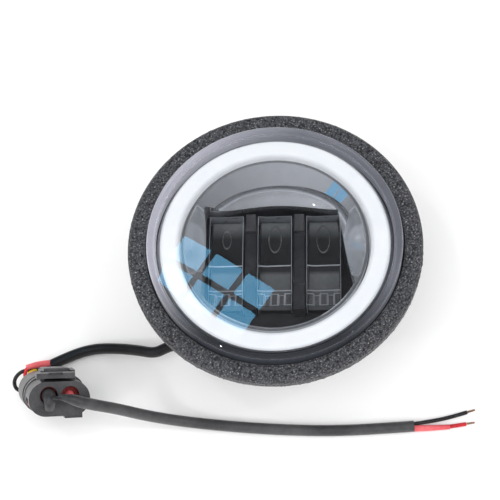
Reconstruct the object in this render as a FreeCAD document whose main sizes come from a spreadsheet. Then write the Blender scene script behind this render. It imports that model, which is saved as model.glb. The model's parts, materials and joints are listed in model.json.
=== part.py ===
"""Round 4.5 inch LED fog light with its lead, two-pin connector pair and supply pigtail.

Millimetres.  The lamp lies on its back: +Z is the optical axis, z = 0 the face it rests on,
and x = y = 0 the axis of its round housing.  The optic blocks stand along Y, side by side in X.
The connector pair has a frame of its own: its local Z runs from the socket's wire end to the
plug's wire end, its local X runs from one wire cavity to the other.
"""
import FreeCAD
import Part
import Sketcher
import math
import os
import re

Vector = FreeCAD.Vector

doc = FreeCAD.newDocument("FogLight")
sheet = doc.addObject("Spreadsheet::Sheet", "Dims")

# ---------------------------------------------------------------- driving dimensions
DIMENSIONS = {
    # housing
    "rim_radius": 57.15,          # 4.5 inch lamp
    "face_height": 56.5,          # front of the rim above the resting face
    "rim_thick": 5.0,
    "rim_edge": 0.9,              # chamfer on the rim's outer corners
    "lens_seat_radius": 50.2,
    "lens_seat_height": 51.0,
    "tray_seat_radius": 46.2,
    "tray_seat_height": 47.5,
    "bowl_radius": 45.0,          # inside the bowl, at its top
    "bowl_floor_radius": 36.0,
    "web_top": 25.0,
    "web_thick": 5.0,
    "chamber_radius": 29.0,       # electronics chamber behind the web
    "chamber_outer": 33.0,
    "cover_thick": 3.6,
    "gasket_thick": 0.6,
    "fin_count": 24,
    "fin_thick": 2.0,
    "screw_circle": 25.0,         # rear cover screws
    "screw_radius": 1.5,
    "boss_radius": 3.4,
    "boss_tall": 13.5,
    # gland on the side of the chamber
    "gland_x": -26.8,
    "gland_y": -20.8,
    "gland_z": 8.5,
    "gland_turn": 190.0,
    "gland_thread": 5.9,
    "gland_nut": 6.6,
    "gland_reach": 16.5,          # tip of the nut, along the gland
    "gland_lip": 1.2,
    "gland_seal_start": 10.7,
    "cable_radius": 2.25,
    # electronics
    "board_radius": 21.0,
    "board_height": 12.0,
    "board_thick": 1.6,
    "post_circle": 16.0,
    "post_radius": 2.6,
    "led_board_wide": 60.0,
    "led_board_tall": 30.0,
    "pad_thick": 0.5,
    # optics
    "optic_pitch": 19.2,
    "optic_wide": 13.5,
    "optic_tall": 37.5,
    "optic_top": 46.0,
    "optic_depth": 12.0,
    "optic_shift": -2.6,
    "lamp_shift": -0.4,
    # halo
    "halo_inner": 37.2,
    "halo_outer": 44.6,
    "halo_top": 56.0,
    "halo_thick": 3.6,
    "halo_board_height": 49.6,
    "halo_board_thick": 1.0,
    "halo_led_count": 24,
    # lens
    "lens_radius": 49.4,
    "lens_wall": 2.6,
    "lens_round": 1.4,            # between its skirt and its crown
    "lens_rim_height": 60.8,
    "lens_crown": 63.2,
    # connector pair
    "pair_x": -96.6,
    "pair_y": -40.3,
    "pair_z": 5.1,
    "pair_heading": 40.0,
    "pair_lean": 35.0,
    "pair_spin": -36.0,
    "socket_block_wide": 20.0,
    "socket_block_high": 12.0,
    "shroud_wide": 25.0,
    "shroud_high": 15.0,
    "shroud_wall": 1.7,
    "shroud_start": 7.0,
    "shroud_end": 19.0,
    "plug_nose_wide": 21.0,
    "plug_nose_high": 11.0,
    "plug_flange_wide": 24.4,
    "plug_flange_high": 14.8,
    "plug_flange_start": 19.4,
    "plug_back_start": 22.4,
    "plug_back_end": 33.0,
    "plug_back_wide": 24.0,
    "plug_back_high": 13.6,
    "cavity_pitch": 8.4,
    "cavity_rise": 1.4,
    "cavity_radius": 3.5,
    "seal_radius": 3.4,
    "core_radius": 0.8,           # insulated single wire
    "pin_radius": 0.8,
    "terminal_radius": 1.5,
    "latch_wide": 9.4,
    "latch_thick": 1.4,
    "latch_pad_top": 10.2,
    "latch_height": 9.15,         # axle above the pair's middle plane
    "latch_axle_at": 25.0,
    "catch_height": 0.5,
}


def fill_sheet():
    """One row a dimension: its name, and its value as a plain number with the name as alias."""
    for row, (name, number) in enumerate(DIMENSIONS.items(), start=1):
        sheet.set("A%d" % row, name)
        sheet.set("B%d" % row, str(number))
        sheet.setAlias("B%d" % row, name)
    doc.recompute()


def bound(formula):
    """A formula in the sheet's names, written the way the expression engine wants it."""
    return re.sub(r"\b[a-z][a-z_]+\b(?!\()", r"Dims.\g<0>", str(formula))


def value(formula):
    """The number that a formula gives now."""
    return float(sheet.evalExpression(bound(formula)))


def drive(thing, **formulas):
    """Bind properties to formulas; x, y and z stand for the placement's base."""
    for name, formula in formulas.items():
        path = "Placement.Base." + name if name in ("x", "y", "z") else name
        thing.setExpression(path, bound(formula))
    return thing


# ---------------------------------------------------------------- solids
def plane_of(body, role):
    return [feature for feature in body.Origin.OriginFeatures if feature.Role == role][0]


def sketch_on(body, name, role):
    sketch = body.newObject("Sketcher::SketchObject", name)
    sketch.AttachmentSupport = [(plane_of(body, role), "")]
    sketch.MapMode = "FlatFace"
    return sketch


def pin_point(sketch, geometry, corner, across, along):
    """Hold one point of the sketch at two formulas from the sketch's origin."""
    for kind, formula in (("DistanceX", across), ("DistanceY", along)):
        spot = sketch.addConstraint(Sketcher.Constraint(kind, -1, 1, geometry, corner, value(formula)))
        sketch.setExpression("Constraints[%d]" % spot, bound(formula))


def dome_middle(start, end):
    """A point halfway along an arc from start to end whose centre is on the axis."""
    centre = (end.dot(end) - start.dot(start)) / (2 * (end.y - start.y))
    radius = (start - Vector(0, centre, 0)).Length
    across = (start.x + end.x) / 2
    side = 1 if start.y + end.y > 2 * centre else -1
    return Vector(across, centre + side * math.sqrt(radius ** 2 - across ** 2), 0)


def draw_outline(sketch, outline):
    """Close an outline of (across, along) corners.

    ("via", across, along) bends the next edge through that point, and ("dome",) makes it an arc
    whose centre is on the axis.
    """
    corners = []
    bends = {}
    for entry in outline:
        if entry[0] in ("via", "dome"):
            bends[len(corners) - 1] = entry[1:]
        else:
            corners.append(entry)
    spots = [Vector(value(across), value(along), 0) for across, along in corners]
    marks = []
    for index, start in enumerate(spots):
        end = spots[(index + 1) % len(spots)]
        marks.append((1, 2))
        if index not in bends:
            sketch.addGeometry(Part.LineSegment(start, end), False)
            continue
        if bends[index]:
            middle = Vector(value(bends[index][0]), value(bends[index][1]), 0)
        else:
            middle = dome_middle(start, end)
        if (middle - start).cross(end - middle).z > 0:
            sketch.addGeometry(Part.Arc(start, middle, end), False)
        else:
            sketch.addGeometry(Part.Arc(end, middle, start), False)
            marks[index] = (2, 1)
    for index in range(len(spots)):
        after = (index + 1) % len(spots)
        joint = (index, marks[index][1], after, marks[after][0])
        sketch.addConstraint(Sketcher.Constraint("Coincident", *joint))
    for index, (across, along) in enumerate(corners):
        pin_point(sketch, index, marks[index][0], across, along)
    for index, through in bends.items():
        if through:
            bead = sketch.addGeometry(Part.Point(Vector(value(through[0]), value(through[1]), 0)), True)
            pin_point(sketch, bead, 1, *through)
            sketch.addConstraint(Sketcher.Constraint("PointOnObject", bead, 1, index))
        else:
            sketch.addConstraint(Sketcher.Constraint("PointOnObject", index, 3, -2))


def turned(name, outline):
    """A body of revolution about Z, from an outline in the XZ plane."""
    body = doc.addObject("PartDesign::Body", name)
    sketch = sketch_on(body, name + "_outline", "XZ_Plane")
    draw_outline(sketch, outline)
    spin = body.newObject("PartDesign::Revolution", name + "_turn")
    spin.Profile = sketch
    spin.ReferenceAxis = (sketch, ["V_Axis"])
    spin.Angle = 360
    return body


def stadium_pad(body, name, wide, high, start, end):
    """Pad a stadium (a box with fully round ends) on a body, from one height to another."""
    sketch = sketch_on(body, name + "_outline", "XY_Plane")
    sketch.setExpression("AttachmentOffset.Base.z", bound(start))
    half = value("(%s) / 2 - (%s) / 2" % (wide, high))
    radius = value(high) / 2
    up = Vector(0, 0, 1)
    quarter = math.pi / 2
    sketch.addGeometry(Part.ArcOfCircle(Part.Circle(Vector(half, 0, 0), up, radius), -quarter, quarter))
    sketch.addGeometry(Part.LineSegment(Vector(half, radius, 0), Vector(-half, radius, 0)))
    sketch.addGeometry(Part.ArcOfCircle(Part.Circle(Vector(-half, 0, 0), up, radius), quarter, -quarter))
    sketch.addGeometry(Part.LineSegment(Vector(-half, -radius, 0), Vector(half, -radius, 0)))
    for first, first_end, second, second_end in ((0, 2, 1, 1), (1, 2, 2, 1), (2, 2, 3, 1), (3, 2, 0, 1)):
        sketch.addConstraint(Sketcher.Constraint("Tangent", first, first_end, second, second_end))
    pin_point(sketch, 0, 3, "(%s) / 2 - (%s) / 2" % (wide, high), "0")
    pin_point(sketch, 2, 3, "(%s) / 2 - (%s) / 2" % (high, wide), "0")
    spot = sketch.addConstraint(Sketcher.Constraint("Radius", 0, radius))
    sketch.setExpression("Constraints[%d]" % spot, bound("(%s) / 2" % high))
    pad = body.newObject("PartDesign::Pad", name + "_pad")
    pad.Profile = sketch
    pad.setExpression("Length", bound("(%s) - (%s)" % (end, start)))
    return pad


def stadium(name, wide, high, start, end):
    body = doc.addObject("PartDesign::Body", name)
    stadium_pad(body, name, wide, high, start, end)
    return body


def block(name, wide, deep, high, x="0", y="0", z="0"):
    """A box centred on x and y, standing on z."""
    box = doc.addObject("Part::Box", name)
    drive(box, Length=wide, Width=deep, Height=high)
    return drive(box, x="(%s) - (%s) / 2" % (x, wide), y="(%s) - (%s) / 2" % (y, deep), z=z)


def rod(name, radius, high, x="0", y="0", z="0"):
    """An upright cylinder standing on z."""
    cylinder = doc.addObject("Part::Cylinder", name)
    drive(cylinder, Radius=radius, Height=high)
    return drive(cylinder, x=x, y=y, z=z)


def laid_rod(name, radius, high, placement):
    """A cylinder that stands in a frame of its own."""
    cylinder = doc.addObject("Part::Cylinder", name)
    drive(cylinder, Radius=radius, Height=high)
    cylinder.Placement = placement
    return cylinder


def ring(name, inner, outer, start, end):
    """A plain flat ring about Z."""
    return turned(name, [(inner, start), (outer, start), (outer, end), (inner, end)])


def cut(name, base, tools):
    remove = tools[0] if len(tools) == 1 else join(name + "_tools", tools)
    result = doc.addObject("Part::Cut", name)
    result.Base = base
    result.Tool = remove
    return result


def join(name, shapes):
    result = doc.addObject("Part::MultiFuse", name)
    result.Shapes = shapes
    return result


def group(name, shapes):
    """Separate solids of one kind that share a node."""
    result = doc.addObject("Part::Compound", name)
    result.Links = shapes
    return result


def around(circle, angle):
    """The x and y formulas of a point on a circle about the lamp's axis."""
    return "(%s) * cos(%g)" % (circle, angle), "(%s) * sin(%g)" % (circle, angle)


# ---------------------------------------------------------------- nodes and frames
NODES = []


def node(label, thing, placement=None):
    """Register a finished piece; its label names its file."""
    thing.Label = label
    if placement is not None:
        thing.Placement = placement
    NODES.append(thing)
    return thing


def gland_frame(along=0):
    """Local Z runs out along the gland, from a point that far along it."""
    turn = FreeCAD.Rotation(Vector(0, 0, 1), value("gland_turn"))
    tip = FreeCAD.Rotation(Vector(0, 1, 0), 90)
    rotation = turn.multiply(tip)
    spot = Vector(value("gland_x"), value("gland_y"), value("gland_z"))
    return FreeCAD.Placement(spot + rotation.multVec(Vector(0, 0, along)), rotation)


def pair_frame():
    """Local Z runs from the socket's wire end to the plug's wire end."""
    turn = FreeCAD.Rotation(Vector(0, 0, 1), value("pair_heading"))
    lean = FreeCAD.Rotation(Vector(1, 0, 0), value("pair_lean"))
    spin = FreeCAD.Rotation(Vector(0, 0, 1), value("pair_spin"))
    spot = Vector(value("pair_x"), value("pair_y"), value("pair_z"))
    return FreeCAD.Placement(spot, turn.multiply(lean).multiply(spin))


# ---------------------------------------------------------------- cords and wires
def tube(label, points, radius):
    """Straight runs joined by tangent arcs, each arc as large as its two runs allow."""
    spots = [Vector(*point) for point in points]
    edges = []
    here = spots[0]
    radii = []
    for before, corner, after in zip(spots, spots[1:], spots[2:]):
        into = (corner - before).normalize()
        out = (after - corner).normalize()
        reach = 0.45 * min((corner - before).Length, (after - corner).Length)
        half_turn = into.getAngle(out) / 2
        radii.append(reach / math.tan(half_turn))
        start = corner - into * reach
        end = corner + out * reach
        inward = (out - into).normalize()
        depth = radii[-1] / math.cos(half_turn) - radii[-1]
        edges.append(Part.LineSegment(here, start).toShape())
        edges.append(Part.Arc(start, corner + inward * depth, end).toShape())
        here = end
    edges.append(Part.LineSegment(here, spots[-1]).toShape())
    path = Part.Wire(edges)
    size = value(radius)
    circle = Part.Circle(spots[0], (spots[1] - spots[0]).normalize(), size)
    solid = path.makePipeShell([Part.Wire([circle.toShape()])], True, False)
    ideal = math.pi * size ** 2 * path.Length
    print("%-20s length %6.1f  volume/ideal %.4f  radii/diameter %s" % (
        label, path.Length, solid.Volume / ideal, " ".join("%.1f" % (r / size / 2) for r in radii)))
    thing = doc.addObject("Part::Feature", label)
    thing.Shape = solid
    return node(label, thing)


# ================================================================ the lamp
COVER_SCREW_ANGLES = (80, 170, 260, 350)


def make_housing():
    """Die-cast bowl, rim and electronics chamber, with cooling fins, bosses and a gland boss."""
    housing = turned("housing_casting", [
        ("chamber_radius", "cover_thick + gasket_thick"),
        ("chamber_outer", "cover_thick + gasket_thick"),
        ("chamber_outer", "web_top - 7"),
        ("bowl_floor_radius + 6", "web_top + 1.5"),
        ("bowl_radius + 3", "tray_seat_height - 5"),
        ("bowl_radius + 4", "tray_seat_height - 1"),
        ("lens_seat_radius + 2", "tray_seat_height + 1.5"),
        ("lens_seat_radius + 2", "face_height - rim_thick"),
        ("rim_radius - rim_edge", "face_height - rim_thick"),
        ("rim_radius", "face_height - rim_thick + rim_edge"),
        ("rim_radius", "face_height - rim_edge"),
        ("rim_radius - rim_edge", "face_height"),
        ("lens_seat_radius", "face_height"),
        ("lens_seat_radius", "lens_seat_height"),
        ("tray_seat_radius", "lens_seat_height"),
        ("tray_seat_radius", "tray_seat_height"),
        ("bowl_radius - 1.4", "tray_seat_height"),
        ("bowl_radius - 1.6", "tray_seat_height - 6"),
        ("bowl_floor_radius + 2", "web_top + 3"),
        ("bowl_floor_radius", "web_top"),
        ("0", "web_top"),
        ("0", "web_top - web_thick"),
        ("chamber_radius", "web_top - web_thick"),
    ])
    sketch = sketch_on(housing, "fin_outline", "XZ_Plane")
    draw_outline(sketch, [
        ("chamber_outer - 1", "cover_thick + 6"),
        ("chamber_outer + 2.6", "cover_thick + 7"),
        ("chamber_outer + 6.6", "web_top - 7"),
        ("bowl_radius + 4.2", "web_top + 12"),
        ("bowl_radius + 5", "face_height - rim_thick - 3"),
        ("bowl_radius + 2.5", "face_height - rim_thick - 3"),
        ("bowl_floor_radius + 5", "web_top + 1.5"),
        ("chamber_outer - 1", "web_top - 7"),
    ])
    fin = housing.newObject("PartDesign::Pad", "fin")
    fin.Profile = sketch
    fin.Midplane = True
    fin.setExpression("Length", bound("fin_thick"))
    doc.recompute()
    fins = housing.newObject("PartDesign::PolarPattern", "fins")
    fins.Originals = [fin]
    fins.Axis = (plane_of(housing, "Z_Axis"), [""])
    fins.Angle = 360
    fins.setExpression("Occurrences", bound("fin_count"))
    housing.Tip = fins
    bosses = []
    holes = []
    for angle in COVER_SCREW_ANGLES:
        x, y = around("screw_circle", angle)
        foot = "web_top - web_thick - boss_tall"
        bosses.append(rod("cover_boss_%d" % angle, "boss_radius", "boss_tall + 0.5", x, y, foot))
        holes.append(rod("cover_thread_%d" % angle, "screw_radius", "9", x, y, foot))
    gland_boss = laid_rod("gland_boss", "gland_thread + 1.5", "10", gland_frame(-6))
    gland_room = laid_rod("gland_room", "gland_nut + 1.2", "20", gland_frame(4))
    gland_hole = laid_rod("gland_thread_hole", "gland_thread", "20", gland_frame(-9))
    chamber = rod("chamber_trim", "chamber_radius", "web_top - web_thick - cover_thick", z="cover_thick")
    seat = rod("cover_trim", "chamber_outer + 0.3", "cover_thick + gasket_thick")
    boss_outside = cut("gland_boss_outside", gland_boss, [chamber, seat])
    passage = rod("lead_hole", "3", "web_thick", "post_circle + 6", "lamp_shift - 14",
                  "web_top - web_thick")
    shell = join("housing_solid", [housing, boss_outside] + bosses)
    node("housing", cut("housing_shape", shell, holes + [gland_hole, gland_room, passage]))


def make_rear_cover():
    """Screwed plate that closes the chamber; the lamp lies on it."""
    plate = turned("cover_plate", [
        ("0", "0"),
        ("chamber_outer - 1", "0"),
        ("chamber_outer", "1"),
        ("chamber_outer", "cover_thick"),
        ("0", "cover_thick"),
    ])
    holes = [rod("vent_hole", "4", "cover_thick")]
    screws = []
    for angle in COVER_SCREW_ANGLES:
        x, y = around("screw_circle", angle)
        holes.append(rod("cover_hole_%d" % angle, "screw_radius + 0.1", "cover_thick", x, y))
        holes.append(rod("cover_sink_%d" % angle, "screw_radius * 2", "2.2", x, y))
        shank = rod("cover_shank_%d" % angle, "screw_radius - 0.02", "11", x, y, "2.1")
        head = rod("cover_head_%d" % angle, "screw_radius * 1.85", "1.8", x, y, "0.4")
        drive_hole = rod("cover_socket_%d" % angle, "screw_radius * 0.8", "1.2", x, y, "0.4")
        screws.append(cut("cover_screw_%d" % angle, join("cover_screw_solid_%d" % angle, [shank, head]),
                          [drive_hole]))
    node("rear_cover", cut("cover_shape", plate, holes))
    node("rear_cover_screws", group("cover_screw_set", screws))
    node("rear_cover_gasket", ring("gasket", "chamber_radius + 0.4", "chamber_outer - 0.4",
                                   "cover_thick", "cover_thick + gasket_thick"))
    stem = rod("vent_stem", "3.98", "cover_thick - 0.4", z="0.4")
    collar = rod("vent_collar", "5.2", "1.4", z="cover_thick")
    bore = rod("vent_bore", "1.1", "cover_thick + 2", z="0.4")
    node("breather_vent", cut("vent_shape", join("vent_solid", [stem, collar]), [bore]))


def make_gland():
    """Threaded body, rubber seal and cap nut that grip the lead."""
    at = gland_frame()
    stem = rod("gland_stem", "gland_thread - 0.02", "5", z="1")
    hexagon = doc.addObject("Part::Prism", "gland_hexagon")
    hexagon.Polygon = 6
    drive(hexagon, Circumradius="gland_nut + 0.6", Height="3", z="4.2")
    collar = rod("gland_collar", "gland_nut - 1.5", "3.5", z="7")
    bore = rod("gland_bore", "cable_radius + 0.9", "12", z="-1")
    body = join("gland_body_solid", [stem, hexagon, collar])
    node("gland_body", cut("gland_body_shape", body, [bore]), at)
    node("gland_seal", ring("gland_seal_ring", "cable_radius", "cable_radius + 2",
                            "gland_seal_start", "gland_reach - gland_lip"), at)
    node("gland_nut", turned("gland_cap", [
        ("gland_nut - 1.45", "7.3"),
        ("gland_nut", "7.3"),
        ("gland_nut", "12"),
        ("via", "gland_nut - 0.9", "14.8"),
        ("cable_radius + 1.2", "gland_reach"),
        ("cable_radius + 0.05", "gland_reach"),
        ("cable_radius + 0.05", "gland_reach - gland_lip"),
        ("cable_radius + 2.05", "gland_reach - gland_lip"),
        ("cable_radius + 2.05", "gland_seal_start"),
        ("gland_nut - 1.45", "gland_seal_start"),
    ]), at)


def make_driver():
    """Round driver board on three posts under the web, with its larger components."""
    board_top = "board_height + board_thick"
    node("driver_board", rod("driver_disc", "board_radius", "board_thick", z="board_height"))
    post_tall = "web_top - web_thick - board_height - board_thick"
    posts = []
    screws = []
    for angle in (0, 120, 240):
        x, y = around("post_circle", angle)
        posts.append(rod("post_%d" % angle, "post_radius", post_tall, x, y, board_top))
        screws.append(rod("post_screw_%d" % angle, "post_radius", "1.6", x, y, "board_height - 1.6"))
    node("driver_posts", group("post_set", posts))
    node("driver_screws", group("post_screw_set", screws))
    node("driver_inductor", ring("inductor_ring", "2.2", "5.6", "board_height - 5.4", "board_height"))
    node("driver_capacitors", group("capacitor_set", [
        rod("capacitor_%d" % side, "3.1", "6.4", "9.5", "%g" % (6.5 * side), "board_height - 6.4")
        for side in (-1, 1)]))
    chips = [block("chip_%d" % index, wide, deep, "1.5", x, y, "board_height - 1.5")
             for index, (x, y, wide, deep) in enumerate((
                 ("-10.5", "6", "6", "5"), ("-10.5", "-6", "5", "4"), ("-1.5", "-12.5", "6.5", "6"),
                 ("0.5", "12.5", "4", "5")))]
    node("driver_chips", group("chip_set", chips))


def make_led_engine():
    """Metal-core board on a thermal pad, with three emitters and its two screws."""
    base = "web_top + pad_thick"
    node("thermal_pad", block("pad_sheet", "led_board_wide - 4", "led_board_tall - 4", "pad_thick",
                              "lamp_shift", "optic_shift", "web_top"))
    node("led_board", block("led_board_sheet", "led_board_wide", "led_board_tall", "1.6",
                            "lamp_shift", "optic_shift", base))
    emitters = []
    for index in (-1, 0, 1):
        x = "lamp_shift + %d * optic_pitch" % index
        carrier = block("carrier_%d" % (index + 1), "7", "7", "1", x, "optic_shift", base + " + 1.6")
        dome = rod("dome_%d" % (index + 1), "2.6", "0.8", x, "optic_shift", base + " + 2.6")
        emitters.append(join("emitter_%d" % (index + 1), [carrier, dome]))
    node("led_emitters", group("emitter_set", emitters))
    node("led_board_screws", group("led_screw_set", [
        rod("led_screw_%d" % side, "2.4", "1.7", "lamp_shift + %g * optic_pitch / 2" % side,
            "optic_shift + led_board_tall / 2 - 3.2", base + " + 1.6") for side in (-1, 1)]))


def make_reflector():
    """Bright bowl with a deck that the three optic blocks look through."""
    bowl = turned("reflector_bowl", [
        ("0", "optic_top - optic_depth - 1.6"),
        ("33.6", "optic_top - optic_depth - 1.6"),
        ("via", "38.9", "optic_top - 4"),
        ("40.6", "halo_board_height - 2.3"),
        ("40.6", "halo_board_height - 1.1"),
        ("36.4", "halo_board_height - 1.1"),
        ("36.4", "halo_top - 1.2"),
        ("35.2", "halo_top - 1.2"),
        ("via", "34", "optic_top - 3"),
        ("28.6", "optic_top - optic_depth"),
        ("0", "optic_top - optic_depth"),
    ])
    deck = "optic_top - optic_depth"
    openings = []
    for index in (-1, 0, 1):
        x = "lamp_shift + %d * optic_pitch" % index
        openings.append(block("optic_window_%d" % (index + 1), "optic_wide - 2", "optic_tall - 2", "4",
                              x, "optic_shift", deck + " - 3"))
        openings.append(block("optic_pocket_%d" % (index + 1), "optic_wide + 0.2", "optic_tall + 0.2",
                              "optic_depth + 8", x, "optic_shift", deck))
    node("reflector", cut("reflector_shape", bowl, openings))
    leg_tall = deck + " - 1.6 - web_top"
    legs = []
    for angle in (50, 130, 230, 310):
        x, y = around("31.5", angle)
        legs.append(rod("reflector_leg_%d" % angle, "2.2", leg_tall, x, y, "web_top"))
    node("reflector_posts", group("reflector_leg_set", legs))


def make_optics():
    """Three clear blocks on the deck, and the dark ribs between them."""
    for index, side in ((-1, "left"), (0, "centre"), (1, "right")):
        x = "lamp_shift + %d * optic_pitch" % index
        body = block("optic_block_" + side, "optic_wide", "optic_tall", "optic_depth", x, "optic_shift",
                     "optic_top - optic_depth")
        groove = block("optic_seam_" + side, "optic_wide + 1", "0.8", "0.8", x, "optic_shift - 3.4",
                       "optic_top - 0.8")
        step = block("optic_step_" + side, "optic_wide + 1", "6", "2.4", x,
                     "optic_shift - optic_tall / 2 + 2.6", "optic_top - 2.4")
        node("optic_" + side, cut("optic_shape_" + side, body, [groove, step]))
    ribs = []
    for index in (-0.5, 0.5):
        x = "lamp_shift + %g * optic_pitch" % index
        ribs.append(block("rib_%d" % (index + 1), "optic_pitch - optic_wide - 1", "optic_tall + 3",
                          "optic_depth - 3", x, "optic_shift", "optic_top - optic_depth"))
    node("optic_ribs", group("rib_set", ribs))


def make_halo():
    """White diffusing ring over a ring of small LEDs, in a tray that sits in the housing."""
    node("halo_tray", turned("tray_ring", [
        ("halo_outer - 0.8", "tray_seat_height"),
        ("tray_seat_radius - 0.1", "tray_seat_height"),
        ("tray_seat_radius - 0.1", "lens_seat_height + 1.5"),
        ("halo_outer + 0.1", "halo_top"),
        ("halo_outer + 0.1", "halo_board_height"),
        ("halo_outer - 0.8", "halo_board_height"),
    ]))
    board_top = "halo_board_height + halo_board_thick"
    node("halo_led_board", ring("halo_board_ring", "halo_inner - 0.6", "halo_outer",
                                "halo_board_height", board_top))
    chips = []
    count = int(value("halo_led_count"))
    for index in range(count):
        x, y = around("(halo_inner + halo_outer) / 2", 360 * index / count)
        chips.append(rod("halo_led_%02d" % index, "1.4", "0.8", x, y, board_top))
    node("halo_leds", group("halo_led_set", chips))
    node("halo_light_guide", turned("guide_ring", [
        ("halo_inner", "halo_top - halo_thick"),
        ("halo_outer", "halo_top - halo_thick"),
        ("halo_outer", "halo_top - 0.8"),
        ("halo_outer - 0.8", "halo_top"),
        ("halo_inner + 0.8", "halo_top"),
        ("halo_inner", "halo_top - 0.8"),
    ]))


def make_lens():
    """Clear cover with a straight skirt and a low crown, bonded into the rim."""
    node("lens", turned("lens_shell", [
        ("0", "lens_crown - lens_wall"),
        ("dome",),
        ("lens_radius - lens_wall", "lens_rim_height - lens_wall"),
        ("lens_radius - lens_wall", "lens_seat_height + 0.3"),
        ("lens_radius", "lens_seat_height + 0.3"),
        ("lens_radius", "lens_rim_height - lens_round"),
        ("lens_radius - lens_round", "lens_rim_height"),
        ("dome",),
        ("0", "lens_crown"),
    ]))
    node("lens_sealant", turned("sealant_bead", [
        ("tray_seat_radius + 0.2", "lens_seat_height"),
        ("lens_seat_radius", "lens_seat_height"),
        ("lens_seat_radius", "face_height - 1.2"),
        ("lens_radius", "face_height - 1.8"),
        ("lens_radius", "lens_seat_height + 0.3"),
        ("tray_seat_radius + 0.2", "lens_seat_height + 0.3"),
    ]))


# ================================================================ the connector pair
def make_socket():
    """Half that ends the lamp's lead: a block with pins and an open shroud round them."""
    at = pair_frame()
    block_part = stadium("socket_block", "socket_block_wide", "socket_block_high", "0", "shroud_start + 1")
    skirt = stadium("socket_shroud", "shroud_wide", "shroud_high", "shroud_start", "shroud_end")
    mouth = stadium("socket_mouth", "shroud_wide - 2 * shroud_wall", "shroud_high - 2 * shroud_wall",
                    "shroud_start + 1.6", "shroud_end + 1")
    catch = block("socket_catch", "6", "catch_height + 1", "2.4",
                  "0", "shroud_high / 2 + catch_height / 2 - 0.5", "shroud_end - 3.4")
    key = block("socket_key", "3", "2.6", "9",
                "shroud_wide / 4", "-shroud_high / 2 - 0.6", "shroud_end - 9.5")
    bores = [rod("socket_bore_%s" % side, "pin_radius", "shroud_start + 4", "%s * cavity_pitch / 2" % sign,
                 "cavity_rise", "-1")
             for side, sign in (("left", "-1"), ("right", "1"))]
    node("socket_housing", cut("socket_shape", join("socket_solid", [block_part, skirt, catch, key]),
                               [mouth] + bores), at)
    node("socket_pins", group("socket_pin_set", [
        rod("socket_pin_%s" % side, "pin_radius - 0.01", "shroud_end - 3", "%s * cavity_pitch / 2" % sign,
            "cavity_rise", "0.4")
        for side, sign in (("left", "-1"), ("right", "1"))]), at)
    node("socket_potting", stadium("socket_potting_shape", "socket_block_wide - 3", "socket_block_high - 4",
                                   "-0.7", "0"), at)


def make_plug():
    """Half that ends the supply pigtail: nose, flange, wire cavities, seals and terminals."""
    at = pair_frame()
    plug = doc.addObject("PartDesign::Body", "plug_casting")
    stadium_pad(plug, "plug_nose", "plug_nose_wide", "plug_nose_high",
                "shroud_start + 2.2", "plug_back_start")
    stadium_pad(plug, "plug_flange", "plug_flange_wide", "plug_flange_high",
                "plug_flange_start", "plug_back_start")
    stadium_pad(plug, "plug_back", "plug_back_wide", "plug_back_high",
                "plug_back_start - 0.5", "plug_back_end")
    tools = []
    terminals = []
    seals = []
    for side, sign in (("left", "-1"), ("right", "1")):
        x = "%s * cavity_pitch / 2" % sign
        y = "cavity_rise"
        tools.append(rod("cavity_" + side, "cavity_radius", "9", x, y, "plug_back_end - 8"))
        tools.append(rod("terminal_way_" + side, "terminal_radius + 0.05", "20", x, y, "shroud_start + 1"))
        barrel = rod("barrel_" + side, "terminal_radius", "15", x, y, "shroud_start + 3")
        hollow = rod("barrel_bore_" + side, "pin_radius + 0.3", "12", x, y, "shroud_start + 2.9")
        terminals.append(cut("terminal_" + side, barrel, [hollow]))
        ring_solid = rod("seal_solid_" + side, "seal_radius", "5", x, y, "plug_back_end - 7.9")
        ring_bore = rod("seal_bore_" + side, "core_radius", "7", x, y, "plug_back_end - 9")
        seals.append(cut("seal_" + side, ring_solid, [ring_bore]))
    tools.append(block("lock_slot", "4.2", "3.4", "5.4",
                       "-plug_back_wide / 2 + 1.4", "-1.6", "plug_back_end - 7.6"))
    cheeks = [block("latch_cheek_" + side, "1.6", "latch_height + 1.4 - plug_back_high / 2 + 1", "6.5",
                    sign + " * (latch_wide / 2 + 1.3)",
                    "(latch_height + 1.4 + plug_back_high / 2 - 1) / 2", "latch_axle_at - 3.2")
              for side, sign in (("left", "-1"), ("right", "1"))]
    pivot = laid_rod("latch_axle", "0.8", "latch_wide + 2.6", latch_axle("latch_wide / 2 + 1.3"))
    lug = block("plug_lug", "7", "3", "5", "plug_back_wide / 4 + 1", "-plug_back_high / 2 - 0.9",
                "plug_flange_start + 0.2")
    node("plug_housing", cut("plug_shape", join("plug_solid", [plug, lug] + cheeks + [pivot]), tools), at)
    node("plug_terminals", group("terminal_set", terminals), at)
    node("plug_wire_seals", group("seal_set", seals), at)
    wedge = block("lock_wedge", "2.6", "3", "5", "-plug_back_wide / 2 + 1.9", "-1.6", "plug_back_end - 7.4")
    node("plug_terminal_lock", group("lock_wedge_set", [wedge]), at)
    outer = stadium("plug_gasket_outer", "plug_nose_wide + 0.4", "plug_nose_high + 0.4",
                    "shroud_end - 2.2", "shroud_end - 0.4")
    inner = stadium("plug_gasket_inner", "plug_nose_wide", "plug_nose_high", "shroud_end - 3", "shroud_end")
    node("plug_gasket", cut("plug_gasket_shape", outer, [inner]), at)


def latch_axle(half):
    """The latch's axle line, along the pair's local X, starting that far to its left."""
    spot = Vector(-value(half), value("latch_height"), value("latch_axle_at"))
    return FreeCAD.Placement(spot, FreeCAD.Rotation(Vector(0, 1, 0), 90))


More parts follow.
